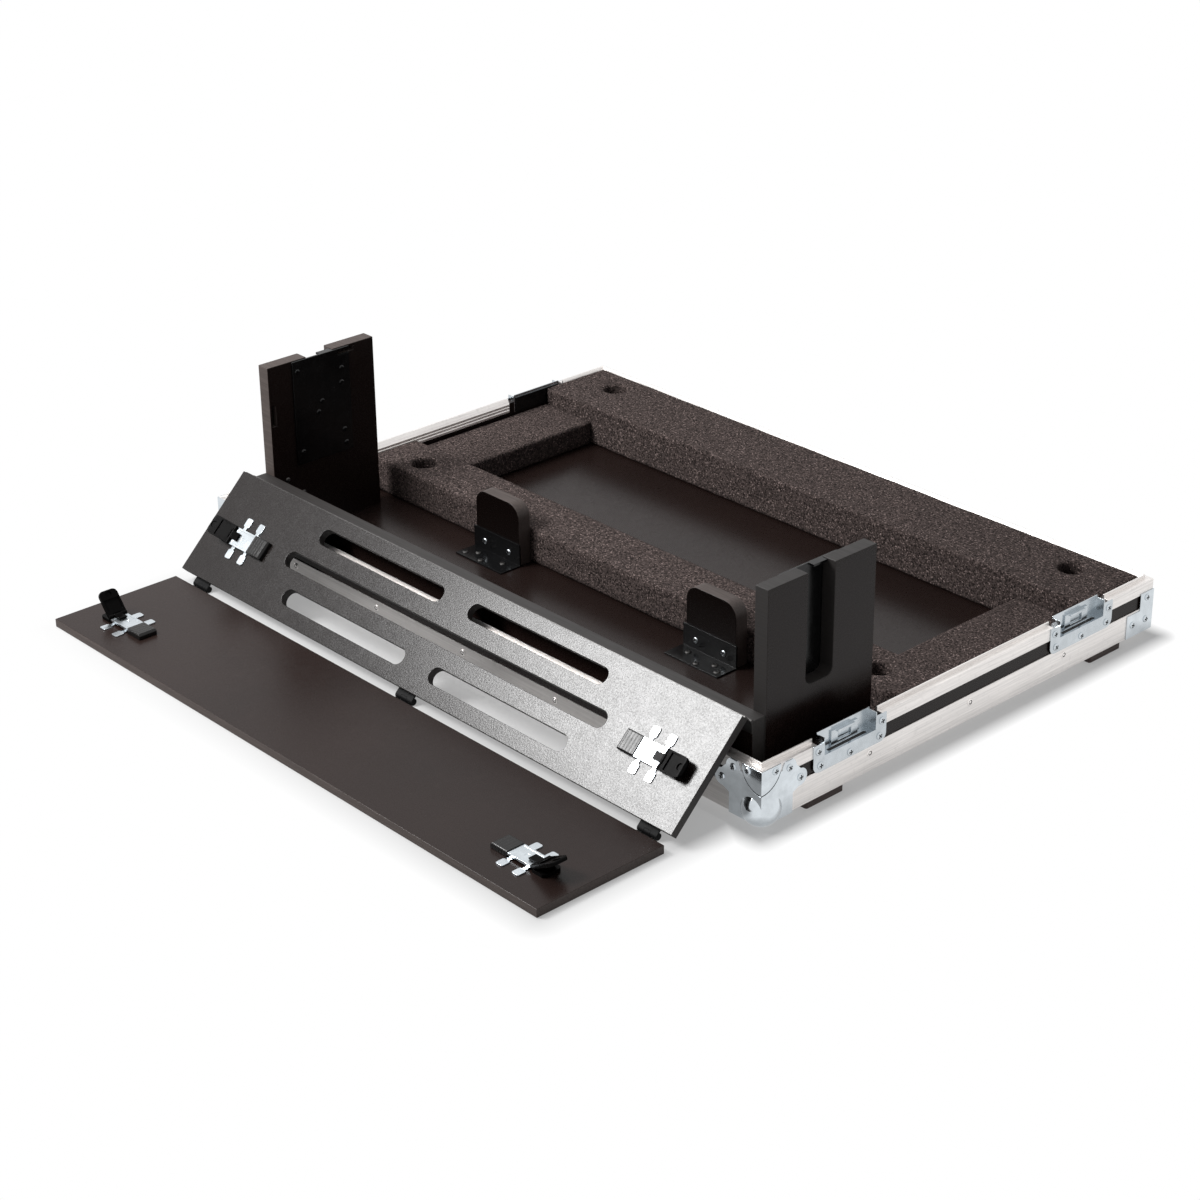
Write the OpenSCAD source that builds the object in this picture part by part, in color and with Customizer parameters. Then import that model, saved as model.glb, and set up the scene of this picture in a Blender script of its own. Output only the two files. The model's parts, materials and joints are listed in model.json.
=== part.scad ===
// Bottom tray of a flight case for a mixing desk.
// A cable bay at the front is closed by two hinged panels, drawn here folded out to the floor.
// X runs to the right, Y to the rear and Z up. The floor is z = 0.
// Sizes are set from the tray's front face (y = 0) and then moved to the middle of the footprint.

/* [Tray] */
// Width of the tray over its edge angles
tray_w = 930; // [900:5:1000]
// Depth of the tray over its edge angles
tray_d = 641; // [620:1:700]
// Thickness of the ply of the walls and the base
ply_t = 9; // [8:0.5:11]
// Wall ply that shows between the edge angle and the lid extrusion
wall_band_h = 17; // [14:1:24]
// Height of the feet
foot_h = 9; // [8.6:0.2:14]
// Length of a foot along the side wall
foot_len = 56; // [40:1:70]
// Width of a foot under the base
foot_w = 45; // [34:1:60]
// Inset of a foot from the side face
foot_inset = 1.5; // [0:0.5:4]
// Distance from the front face to the middle of the front feet
foot_front_y = 96; // [80:1:120]
// Distance from the rear face to the middle of the rear feet
foot_rear_y = 80; // [60:1:120]

/* [Edge metalwork] */
// Metal thickness of the edge angles
angle_t = 1.5; // [1:0.1:2]
// Leg of the edge angles
angle_leg = 31; // [28:1:34]
// Skin of the lid extrusion on both sides of the ply
skin_t = 1.5; // [1:0.1:2]
// Height of the lid extrusion from its lower lip to the shoulder
shoulder_h = 14.5; // [12:0.5:18]
// Height of the tongue above the shoulder
tongue_h = 4.7; // [3:0.1:6]
// Width of the tongue
tongue_w = 5; // [3:0.5:6]
// Metal left between the top of the ply and the shoulder
web_t = 2; // [1.5:0.5:3]
// Radius of a rivet head
rivet_r = 4; // [3:0.5:5]
// Height of a rivet head
rivet_h = 1.4; // [1:0.1:2]
// Spacing of the rivets along the side walls
side_rivet_pitch = 160; // [120:5:180]
// Spacing of the rivets along the front and rear walls
front_rivet_pitch = 155; // [120:5:180]

/* [Corners] */
// Sheet thickness of the corner pieces
plate_t = 1.2; // [1:0.1:1.6]
// Radius of the ball of a front corner
ball_r = 21; // [20:0.5:22]
// Depth of the ball's centre inside the tray's faces
ball_inset = 12.8; // [12.6:0.1:13.4]
// Width of a front corner piece on each face, at the bottom
corner_w = 44.5; // [42:0.5:50]
// Distance from the corner edge to the middle of the outer lobe
lobe_out = 55; // [52:0.5:58]
// Height of the outer lobe's middle above the tray's bottom edge
lobe_out_z = 36; // [33:0.5:38]
// Distance from the corner edge to the middle of the upper lobe
lobe_up = 39; // [38:0.5:42]
// Height of the upper lobe's middle above the tray's bottom edge
lobe_up_z = 53; // [50:0.5:56]
// Radius of the lobes
lobe_r = 10; // [8:0.5:11]
// Half width of the tongue-shaped brace above a front corner piece
brace_w = 27; // [24:0.5:28]
// Gap between the brace and the corner piece
brace_gap = 1; // [0.6:0.1:1.5]
// Length of a rear corner plate on each face
rear_plate_len = 46; // [40:1:56]
// Length of the rear plate's raised ear
rear_ear_len = 23; // [18:1:30]
// Rise of the rear plate's ear above the edge angle
rear_ear_h = 19; // [12:1:20]

/* [Latch dishes] */
// Width of a recessed dish over its flange
dish_w = 110; // [100:1:120]
// Width of the dish's recess
recess_w = 77; // [60:1:84]
// Lower edge of the flange above the tray's bottom edge
dish_low = 30; // [26:0.5:34]
// Floor of the recess above the tray's bottom edge
recess_low = 47; // [44:0.5:50]
// Corner radius of the flange
dish_corner_r = 9; // [4:0.5:12]
// Rise of the recess's back plate above the tongue
dish_rise = 2.3; // [0:0.1:5]
// Middle of the front dish from the front face
dish_front_y = 129; // [125:1:160]
// Middle of the rear dish from the rear face
dish_rear_y = 132; // [115:1:170]
// Width of the keeper in a dish
keeper_w = 40; // [30:1:50]
// Height of the keeper in a dish
keeper_h = 17; // [14:0.5:19]
// Width of the black plate behind a dish
backing_w = 75; // [70:1:80]
// Thickness of the plate behind a dish
backing_t = 1.5; // [1:0.1:2]

/* [Foam] */
// Clearance round every foam piece
foam_gap = 0.3; // [0.2:0.1:1]
// Height of the rear bar above the base
rear_foam_h = 54.8; // [45:0.1:60]
// Depth of the rear bar, front to back
rear_foam_d = 103; // [90:1:130]
// Height of the middle bar above the base
mid_foam_h = 45; // [35:0.5:60]
// Front face of the middle bar
mid_foam_y = 226.6; // [226.6:0.1:240]
// Depth of the middle bar, front to back
mid_foam_d = 73; // [60:1:90]
// Height of the side blocks above the base
side_foam_h = 33; // [25:0.5:45]
// Width of the side blocks
side_foam_w = 90; // [70:1:120]
// Radius of the round pockets in the bars
pocket_r = 16; // [12:0.5:20]
// Distance of the pockets from the tray's side faces
pocket_side = 79; // [70:1:105]
// Distance of the rear pockets from the rear face
rear_pocket_y = 50; // [45:1:60]
// Distance of the middle pockets from the bar's front face
mid_pocket_y = 33; // [25:1:45]

/* [Cable bay] */
// Ply thickness of the front board and the uprights
board_t = 18; // [16:0.5:20]
// Rear face of the front board
bay_front_y = 45; // [45:1:52]
// Height of the front board above the base
board_h = 83.3; // [70:0.1:90]
// Distance from the tray's inner side to an upright
bay_gap = 27; // [20:1:32]
// Depth of an upright, front to back
upright_d = 159.4; // [150:0.1:162]
// Height of an upright above the base
upright_h = 223.8; // [200:0.1:250]
// Width of the cable slot in an upright
cable_slot_w = 40; // [30:1:44]
// Distance from the upright's front edge to the slot's middle
cable_slot_y = 77.5; // [72:0.5:80]
// Floor of the cable slot above the base
cable_slot_z = 96; // [88:1:120]
// Corner radius at the bottom of the cable slot
cable_slot_r = 9; // [4:0.5:14]
// Thickness of the black plate that closes the cable slot on the inner side
slot_plate_t = 2.5; // [1.5:0.1:2.8]
// Width of the slot plate
slot_plate_w = 85; // [80:1:90]
// Lower edge of the slot plate above the base
slot_plate_z = 88; // [80:1:88]
// Distance of the slot plate's upper edge below the upright's top
slot_plate_drop = 1; // [0.5:0.5:6]
// Width of the tab bent into the slot at the plate's upper edge
slot_tab_w = 20; // [10:1:26]
// Depth of that tab
slot_tab_d = 7; // [4:0.5:12]
// Distance from the tray's middle line to the middle of a stop post
post_x = 183; // [150:1:220]
// Width of a stop post
post_w = 78.5; // [60:0.5:90]
// Thickness of a stop post
post_t = 18; // [14:0.5:18]
// Height of a stop post above the base
post_h = 78; // [60:1:90]
// Radius of the stop post's upper corners
post_r = 18; // [10:1:24]
// Front face of the stop posts
post_y = 208.2; // [207:0.1:208.3]
// Width of a post bracket
bracket_w = 84; // [70:1:95]
// Height of the bracket's upright leaf
bracket_h = 29; // [24:0.5:36]
// Depth of the bracket's lower leaf
bracket_d = 32; // [26:0.5:36]
// Sheet thickness of a post bracket
bracket_t = 2; // [1.5:0.1:3]

/* [Cover panels] */
// Distance from an upright's outer face to the ends of both panels
panel_inset = 1; // [0:0.5:3]
// Thickness of both panels
panel_t = 10; // [9:0.5:12]
// Depth of the top cover
cover_d = 168; // [162:0.5:180]
// Gap between the closed panels and the wood they rest on
rest_gap = 0.3; // [0.2:0.1:0.6]
// Width of the hand slots in the flap
slot_w = 20; // [16:0.5:24]
// Spacing of the slot rows up the flap
slot_pitch = 41; // [36:0.5:44]
// Distance from the flap's free edge to the middle of the first slot row
slot_first = 29; // [25:0.5:30]
// Distance from the middle line to the near end of the paired slots
slot_in_x = 23; // [15:1:40]
// Distance from the panel's end to the far end of the paired slots
slot_out_end = 179; // [163:1:225]
// Distance from the panel's end to the end of the long middle slot
slot_mid_end = 149; // [140:1:185]

/* [Hinges] */
// Radius of the piano hinge's knuckles
piano_r = 2.1; // [1.9:0.1:2.4]
// Radius of the piano hinge's wire
piano_pin_r = 1.05; // [0.9:0.05:1.2]
// Thickness of the piano hinge's leaves
piano_leaf_t = 1.2; // [1:0.1:1.5]
// Width of a leaf from the piano hinge's axis
piano_leaf_w = 14; // [11:0.5:17]
// Distance of the piano hinge's axis in front of the board
piano_out = 0.6; // [0.5:0.1:1.5]
// Number of knuckles of the piano hinge
piano_knuckles = 33; // [17:2:35]
// Radius of the strap hinges' knuckles
strap_r = 4; // [3.6:0.1:4.2]
// Radius of the strap hinges' pins
strap_pin_r = 1.5; // [1.2:0.1:1.8]
// Thickness of the strap hinges' leaves
strap_t = 2; // [1.5:0.1:2.4]
// Width of a strap hinge
strap_w = 28; // [24:1:36]
// Length of a strap leaf on its panel
strap_len = 40; // [30:1:55]
// Distance from the panel's end to the middle of the outer strap hinges
strap_end = 36; // [35:1:40]
// Distance of the strap hinges' axis in front of the closed flap
strap_out = 2.6; // [2:0.1:3]
// Radial clearance of a pin that turns
pin_gap = 0.05; // [0.02:0.01:0.1]
// Gap between neighbouring knuckles
knuckle_gap = 0.3; // [0.2:0.1:0.6]

/* [Panel latches] */
// Distance from the panel's end to the middle of a latch bridge
latch_end = 73; // [72:1:79]
// Distance from the flap's free edge to the middle of its latches
flap_latch_s = 63; // [60:1:66]
// Distance from the cover's hinged edge to the middle of its latches
cover_latch_s = 116; // [114:1:120]
// Length of a bridge across the panel
bridge_len = 34; // [30:0.5:36]
// Width of a bridge's raised part
bridge_w = 23; // [22:0.5:26]
// Span over the bridge's tabs
bridge_span = 55; // [48:1:60]
// Width of a tab
tab_w = 10; // [8:0.5:12]
// Width of a tab's neck
tab_neck_w = 5; // [4:0.5:7]
// Height of a bridge over its panel
bridge_h = 5.8; // [5.6:0.1:6.5]
// Sheet thickness of a bridge
bridge_t = 1.4; // [1:0.1:1.5]
// Length of the black end block
block_len = 25; // [24:0.5:26]
// Width of the end block and of the lever
block_w = 24; // [23:0.5:25]
// Height of the end block
block_h = 7; // [6:0.5:9]
// Width of the sliding bar
bar_w = 18; // [16:0.5:18.5]
// Thickness of the sliding bar
bar_t = 3.8; // [3:0.1:4]
// Travel of the sliding bar
bar_travel = 12; // [8:0.5:13]
// Running gap round the sliding bar
bar_gap = 0.3; // [0.2:0.1:0.4]
// Length of the thumb piece that the bar carries over the bridge
thumb_len = 13; // [8:0.5:15]
// Length of a lever from its pivot to its tip
lever_len = 32; // [28:0.5:32.4]
// Thickness of a lever
lever_t = 4; // [3:0.1:4.4]
// Radius of a lever's barrel
lever_barrel_r = 2.4; // [2.2:0.1:2.8]
// Radius of a lever's pin
lever_pin_r = 1.2; // [1:0.1:1.4]
// Angle of the flap's left lever off its panel
flap_left_angle = 25; // [0:1:90]
// Angle of the flap's right lever off its panel
flap_right_angle = 6; // [0:1:90]
// Angle of the cover's left lever off its panel
cover_left_angle = 50; // [0:1:90]
// Angle of the cover's right lever off its panel
cover_right_angle = 27; // [0:1:90]

/* [Hidden] */
$fn = 48;

// A cut runs past the solid it cuts by this much
over = 1;
half_w = tray_w / 2;
wall_in = angle_t + ply_t;
base_bottom = foot_h + angle_t;
base_top = base_bottom + ply_t;
angle_top = foot_h + angle_leg;
ext_bottom = angle_top + wall_band_h;
shoulder_z = ext_bottom + shoulder_h;
tongue_top = shoulder_z + tongue_h;
wall_top = shoulder_z - web_t;
ext_t = 2 * skin_t + ply_t;
// The skin of the extrusion lies as far out as the edge angle, so the ply is the same distance in
ext_in = angle_t - skin_t;
// Inner face of the extrusion, which the foam stays clear of
inner_x = half_w - ext_in - ext_t;
inner_rear_y = tray_d - ext_in - ext_t;

// Front corners
corner_relief = 6.5;
ball_z = foot_h + ball_inset;
brace_low = 35.5;
brace_bottom = foot_h + brace_low;
brace_screw = [18.6, 21.4];
rivet_up = 22;
rivet_z = foot_h + rivet_up;
// Corners of the corner piece's sloping lower edge, inside and below the outer lobe
slope_in = 2;
slope_drop = 4;

// Rear corner plates: the lower band ends below the angle's edge
rear_band_h = angle_leg - 2;
rear_top_screw = 7;
rear_side_screw = 10;
foot_r = 3;

// Dishes
dish_ys = [dish_front_y, tray_d - dish_rear_y];
dish_low_z = foot_h + dish_low;
recess_low_z = foot_h + recess_low;
dish_top_z = tongue_top + dish_rise;
dish_skin = 1.2;
// Slot in a recess's floor: its width, length, corner radius and distance from the back plate
floor_slot_w = 4.5;
floor_slot_len = 58;
floor_slot_r = 2;
floor_slot_in = 3;
// The extrusion ends this far inside a dish's flange
dish_lap = 6;
ext_cut_w = dish_w - 2 * dish_lap;
// Screws of a dish's flange, from its middle and its lower edge
flange_mid = (dish_w + recess_w) / 4;
dish_screw_spots = [[-flange_mid - 1, 24.5], [-flange_mid + 2, 7.5], [0, 6],
                    [flange_mid - 2, 7.5], [flange_mid + 1, 24.5]];

// Foam
foam_z = base_top + foam_gap;
foam_x = min(inner_x, half_w - wall_in - backing_t) - foam_gap;
pocket_x = half_w - pocket_side;
rear_foam_y = inner_rear_y - foam_gap - rear_foam_d;
side_foam_y = mid_foam_y + mid_foam_d + foam_gap;
side_foam_d = rear_foam_y - foam_gap - side_foam_y;

// Cable bay
board_front = bay_front_y - board_t;
board_top = base_top + board_h;
upright_x = inner_x - bay_gap;
upright_in = upright_x - board_t;
upright_top = base_top + upright_h;
slot_mid_y = bay_front_y + cable_slot_y;
slot_plate_h = upright_h - slot_plate_z - slot_plate_drop;
// Bolts of a slot plate and screws of an upright, from the slot's middle and the plate's lower edge
plate_bolts = [[-36, 121.5], [30, 109.5], [29, 91], [30, 28.5],
               [32, 10.5], [-33.5, 16], [-7.5, 61.5], [-1.5, 74.5]];
upright_screws = [[-58, -15], [-35.5, -38]];
// Screws of a post bracket, from the post's middle and from the base or the post's face
bracket_upper_screws = [[-22, 13.5], [22, 13.5]];
bracket_lower_screws = [[-23, 13], [2.6, 26], [20.7, 14], [33.6, 24]];

// Closed panels: the flap stands in front of the uprights and the cover lies on top of them
panel_w = 2 * (upright_x - panel_inset);
slot_out_x = panel_w / 2 - slot_out_end;
slot_mid_x = panel_w / 2 - slot_mid_end;
strap_x = panel_w / 2 - strap_end;
flap_in_y = bay_front_y - rest_gap;
flap_out_y = flap_in_y - panel_t;
cover_in_z = upright_top + rest_gap;
cover_edge_y = flap_in_y + 2 * rest_gap;
flap_top_z = cover_in_z - 2 * rest_gap;
piano_y = board_front - piano_out;
piano_z = board_top;
flap_low_z = piano_z + knuckle_gap + piano_leaf_t;
strap_y = flap_out_y - strap_out;
strap_z = cover_in_z + panel_t - strap_r;
// The flap's strap leaf lies so that its inner side touches the knuckle
strap_leaf_y = strap_y + strap_r - strap_t;
// Of a strap hinge's three knuckles the outer two are the flap's and the middle one the cover's
strap_third = strap_w / 3;

// Open panels: the strap hinges and the cover rest on the floor
strap_dy = strap_y - piano_y;
strap_dz = strap_z - piano_z;
flap_open = atan2(strap_dy, strap_dz) + acos((strap_r - piano_z) / norm([strap_dy, strap_dz]));
strap_rest_y = piano_y + strap_dy * cos(flap_open) - strap_dz * sin(flap_open);
cover_rest_edge = strap_rest_y - (cover_edge_y - strap_y);
cover_front = cover_rest_edge - cover_d;
middle_y = (tray_d + plate_t + rivet_h + cover_front) / 2;

// Latches, measured from the panel's inner face
latch_x = panel_w / 2 - latch_end;
pivot_h = bar_t + bar_gap + lever_barrel_r;
bridge_end = latch_x + bridge_len / 2;
block_out = latch_x - bridge_len / 2 - bar_gap;
block_in = block_out - block_len;
pivot_gap = 1.1;
pivot_x = bridge_end + lever_barrel_r + pivot_gap;
block_wall = 4;
block_edge = 1.2;
block_slope = 2.5;
bar_in = block_in + block_wall;
bar_head_len = 4;
bar_head_w = bar_w + 2;
bar_nose = 17.5;
bar_out = pivot_x + bar_nose;
nose_r = 4;
lug_w = 10;
thumb_drop = 0.8;
tab_neck_len = 4;
tab_r = 2.5;
bridge_rim = 2.5;
bridge_press = 0.4;
bridge_skirt = 2.6;
dimple_r = 2.6;
strike_depth = 14;
strike_gap = 1;
strike_h = lever_t + 2 * strike_gap;
strike_w = block_w + 2 * strike_gap;
strike_low = pivot_h - lever_barrel_r - strike_gap;

black_ply = [0.2, 0.18, 0.17];
foam_grey = [0.25, 0.24, 0.24];
bare_metal = [0.86, 0.86, 0.87];
zinc = [0.72, 0.75, 0.78];
black_metal = [0.1, 0.1, 0.11];
black_plastic = [0.08, 0.08, 0.08];
foot_brown = [0.22, 0.16, 0.14];

// Moves a piece from the tray's front-face frame to the middle of the footprint
module placed() { translate([0, -middle_y, 0]) children(); }

// Draws a piece of the right-hand side and its mirror image
module both_sides() {
    children();
    mirror([1, 0, 0]) children();
}

// Turns pieces drawn with the flap closed to the open flap
module flap_open_pose() {
    placed()
        translate([0, piano_y, piano_z])
        rotate([flap_open, 0, 0])
        translate([0, -piano_y, -piano_z])
        children();
}

// Turns pieces drawn with the cover closed to the open cover, which lies face up on the floor
module cover_open_pose() {
    placed()
        translate([0, strap_rest_y, strap_r])
        rotate([180, 0, 0])
        translate([0, -strap_y, -strap_z])
        children();
}

// Flat outline with rounded corners, its lower left corner at the origin
module rounded_outline(w, h, r) {
    translate([r, 0]) square([w - 2 * r, h]);
    translate([0, r]) square([w, h - 2 * r]);
    for (x = [r, w - r], y = [r, h - r]) translate([x, y]) circle(r);
}

// Slot with round ends, from one end to the other along X, cut through z = 0 to depth
module slot_cut(x_from, x_to, w, depth) {
    r = w / 2;
    translate([x_from + r, -r, 0]) cube([x_to - x_from - w, w, depth]);
    for (x = [x_from + r, x_to - r]) translate([x, 0, 0]) cylinder(r = r, h = depth);
}

// Screw or rivet head with its flat side on z = 0
module head(r, h) { cylinder(r1 = r, r2 = 0.68 * r, h = h); }

// Outline drawn in depth and height, run along X
module run_along_x(len) { rotate([90, 0, 90]) linear_extrude(len) children(); }

// Keeps what lies inside 45 degree mitres at both ends of a run
module mitred(len, depth, height) {
    intersection() {
        children();
        linear_extrude(height) polygon([[0, 0], [len, 0], [len - depth, depth], [depth, depth]]);
    }
}

module angle_outline() {
    polygon([[0, 0], [angle_leg, 0], [angle_leg, angle_t], [angle_t, angle_t],
             [angle_t, angle_leg], [0, angle_leg]]);
}

module angle_run(len) { mitred(len, angle_leg, angle_leg) run_along_x(len) angle_outline(); }

// Channel over the wall's edge, with the lid's tongue on its inner side
module extrusion_outline() {
    ply_out = skin_t + ply_t;
    top = shoulder_h + tongue_h;
    groove = shoulder_h - web_t;
    polygon([[0, 0], [skin_t, 0], [skin_t, groove], [ply_out, groove], [ply_out, 0], [ext_t, 0],
             [ext_t, top], [ext_t - tongue_w, top], [ext_t - tongue_w, shoulder_h], [0, shoulder_h]]);
}

module extrusion_run(len) {
    mitred(len, ext_t, shoulder_h + tongue_h) run_along_x(len) extrusion_outline();
}

// Runs for the front and the right side, at the height z
module front_run(z, inset = 0) { translate([-half_w + inset, inset, z]) children(); }
module right_run(z, inset = 0) { translate([half_w - inset, inset, z]) rotate([0, 0, 90]) children(); }
module at_back() { translate([0, tray_d, 0]) mirror([0, 1, 0]) children(); }

// Small cube cut off both lower front corners, where the balls sit
module ball_relief() {
    both_sides()
        translate([half_w - corner_relief, -over, foot_h - over])
        cube([corner_relief + over, corner_relief + over, corner_relief + over]);
}

// Cuts for the dishes in the right side's ply
module dish_wall_cuts() {
    for (y = dish_ys)
        translate([half_w - wall_in - over, y - recess_w / 2 - dish_skin, recess_low_z - dish_skin])
        cube([wall_in + 2 * over, recess_w + 2 * dish_skin, dish_top_z]);
}

module side_wall() {
    difference() {
        translate([half_w - wall_in, angle_t, base_bottom])
            cube([ply_t, tray_d - 2 * angle_t, wall_top - base_bottom]);
        dish_wall_cuts();
        ball_relief();
    }
}

module end_wall() {
    translate([-half_w + wall_in, angle_t, base_bottom])
        cube([tray_w - 2 * wall_in, ply_t, wall_top - base_bottom]);
}

module side_extrusion() {
    difference() {
        right_run(ext_bottom, ext_in) extrusion_run(tray_d - 2 * ext_in);
        for (y = dish_ys)
            translate([half_w - ext_t - over, y - ext_cut_w / 2, ext_bottom - over])
            cube([ext_t + 2 * over, ext_cut_w, shoulder_h + tongue_h + 2 * over]);
    }
}

module side_angle() {
    difference() {
        right_run(foot_h) angle_run(tray_d);
        ball_relief();
    }
}

module base_board() {
    color(black_ply) placed()
        translate([-half_w + wall_in, wall_in, base_bottom])
        cube([tray_w - 2 * wall_in, tray_d - 2 * wall_in, ply_t]);
}

module front_wall_panel() { color(black_ply) placed() end_wall(); }
module back_wall_panel() { color(black_ply) placed() at_back() end_wall(); }
module right_wall_panel() { color(black_ply) placed() side_wall(); }
module left_wall_panel() { color(black_ply) placed() mirror([1, 0, 0]) side_wall(); }

module front_lid_extrusion() {
    color(bare_metal) placed() front_run(ext_bottom, ext_in) extrusion_run(tray_w - 2 * ext_in);
}
module back_lid_extrusion() {
    color(bare_metal) placed() at_back()
        front_run(ext_bottom, ext_in) extrusion_run(tray_w - 2 * ext_in);
}
module right_lid_extrusion() { color(bare_metal) placed() side_extrusion(); }
module left_lid_extrusion() { color(bare_metal) placed() mirror([1, 0, 0]) side_extrusion(); }

module front_edge_angle() {
    color(bare_metal) placed() difference() {
        front_run(foot_h) angle_run(tray_w);
        ball_relief();
    }
}
module back_edge_angle() { color(bare_metal) placed() at_back() front_run(foot_h) angle_run(tray_w); }
module right_edge_angle() { color(bare_metal) placed() side_angle(); }
module left_edge_angle() { color(bare_metal) placed() mirror([1, 0, 0]) side_angle(); }

// Outline of a front corner piece on one face, from the corner edge (x) and the bottom edge (y)
module corner_outline() {
    difference() {
        union() {
            square([corner_w, lobe_out_z - lobe_r]);
            translate([lobe_out, lobe_out_z]) circle(lobe_r);
            translate([lobe_up, lobe_up_z]) circle(lobe_r);
            polygon([[0, 0], [corner_w, lobe_out_z - lobe_r - slope_drop], [lobe_out - slope_in, lobe_out_z - lobe_r],
                     [lobe_out + lobe_r, lobe_out_z], [lobe_up + lobe_r, lobe_up_z],
                     [lobe_up - lobe_r, lobe_up_z], [0, lobe_up_z]]);
        }
        brace_shape(brace_gap);
        translate([-over, shoulder_z - foot_h - brace_gap]) square([corner_w, lobe_r]);
    }
}

// The brace's outline on one face: a tongue with a round lower end, grown by a gap
module brace_shape(grow) {
    bottom = brace_bottom - foot_h;
    r = brace_w + grow;
    translate([-over, bottom + brace_w]) square([r + over, tongue_top]);
    intersection() {
        translate([0, bottom + brace_w]) circle(r);
        translate([-over, 0]) square([r + over, tongue_top]);
    }
}

// Sheet on the right face and on the front face round one vertical corner edge
module on_both_faces(t) {
    translate([half_w, 0, foot_h]) rotate([90, 0, 90]) linear_extrude(t) children();
    translate([half_w, 0, foot_h]) mirror([1, 0, 0]) rotate([90, 0, 0]) linear_extrude(t) children();
}

// Plates of a front corner piece on the side, the front and the bottom, joined along the edge
module corner_plates() {
    on_both_faces(plate_t) corner_outline();
    translate([half_w - corner_w, -plate_t, foot_h - plate_t])
        cube([corner_w + plate_t, corner_w + plate_t, plate_t]);
    translate([half_w, -plate_t, foot_h - plate_t])
        cube([plate_t, plate_t, brace_low - brace_gap + plate_t]);
}

module ball_corner() {
    reach = lobe_out + 2 * lobe_r;
    difference() {
        union() {
            difference() {
                corner_plates();
                translate([half_w - corner_relief, -plate_t - over, foot_h - plate_t - over])
                    cube(corner_relief + plate_t + over);
            }
            translate([half_w - ball_inset, ball_inset, ball_z]) sphere(ball_r);
        }
        translate([half_w - ball_inset, ball_inset, ball_z]) sphere(ball_r - plate_t);
        difference() {
            translate([half_w - reach, 0, foot_h]) cube([reach, reach, tongue_top]);
            ball_relief();
        }
    }
}

module front_ball_corners() { color(zinc) placed() both_sides() ball_corner(); }

module front_corner_braces() {
    color(zinc) placed() both_sides() {
        intersection() {
            union() {
                on_both_faces(plate_t) brace_shape(0);
                translate([half_w, -plate_t, brace_bottom]) cube([plate_t, plate_t, tongue_top]);
            }
            translate([0, -plate_t, 0]) cube([half_w + plate_t, tray_d, shoulder_z]);
        }
    }
}

// Rear corner plate: a low band with a raised ear, folded round the rear edge
module rear_outline() {
    square([rear_plate_len, rear_band_h]);
    square([rear_ear_len, angle_leg + rear_ear_h]);
}

module rear_corner_plates() {
    color(zinc) placed() at_back() both_sides() {
        on_both_faces(plate_t) rear_outline();
        translate([half_w, -plate_t, foot_h]) cube([plate_t, plate_t, angle_leg + rear_ear_h]);
    }
}

module edge_rivets() {
    color(zinc) placed() {
        both_sides()
            for (i = [-1:1])
            translate([half_w, tray_d / 2 + i * side_rivet_pitch, rivet_z])
            rotate([0, 90, 0]) head(rivet_r, rivet_h);
        for (i = [-2:2]) {
            translate([i * front_rivet_pitch, 0, rivet_z]) rotate([90, 0, 0]) head(rivet_r, rivet_h);
            translate([i * front_rivet_pitch, tray_d, rivet_z]) rotate([-90, 0, 0]) head(rivet_r, rivet_h);
        }
    }
}

// Screw heads on the right face and on the front face, at distances from the corner edge and bottom
module face_screws(spots) {
    for (p = spots) {
        translate([half_w + plate_t, p[0], foot_h + p[1]]) rotate([0, 90, 0]) head(rivet_r, rivet_h);
        translate([half_w - p[0], -plate_t, foot_h + p[1]]) rotate([90, 0, 0]) head(rivet_r, rivet_h);
    }
}

module corner_screws() {
    color(zinc) placed() both_sides() {
        face_screws([[lobe_up, lobe_up_z], [lobe_out, lobe_out_z], [brace_screw[0], brace_low + brace_screw[1]]]);
        at_back() face_screws([[rear_ear_len / 2, angle_leg + rear_ear_h - rear_top_screw],
                               [rear_ear_len / 2, angle_leg / 2],
                               [rear_plate_len - rear_side_screw, angle_leg / 2]]);
    }
}

// Recessed dish on the right face, its middle at y
module latch_dish(y) {
    difference() {
        union() {
            translate([half_w, y - dish_w / 2, dish_low_z]) rotate([90, 0, 90]) linear_extrude(plate_t)
                intersection() {
                    rounded_outline(dish_w, shoulder_z, dish_corner_r);
                    square([dish_w, shoulder_z - dish_low_z]);
                }
            translate([half_w - wall_in, y - recess_w / 2 - dish_skin, recess_low_z - dish_skin])
                cube([wall_in + plate_t, recess_w + 2 * dish_skin, tongue_top - recess_low_z + dish_skin]);
            translate([half_w - wall_in, y - recess_w / 2 - dish_skin, recess_low_z])
                cube([dish_skin, recess_w + 2 * dish_skin, dish_top_z - recess_low_z]);
        }
        translate([half_w - wall_in + dish_skin, y - recess_w / 2, recess_low_z])
            cube([wall_in + over, recess_w, dish_top_z]);
        translate([half_w - wall_in + dish_skin + floor_slot_in, y - floor_slot_len / 2, dish_low_z])
            linear_extrude(recess_low_z - dish_low_z + over)
            rounded_outline(floor_slot_w, floor_slot_len, floor_slot_r);
    }
}

module right_latch_dishes() { color(zinc) placed() for (y = dish_ys) latch_dish(y); }
module left_latch_dishes() { color(zinc) placed() mirror([1, 0, 0]) for (y = dish_ys) latch_dish(y); }

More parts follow.
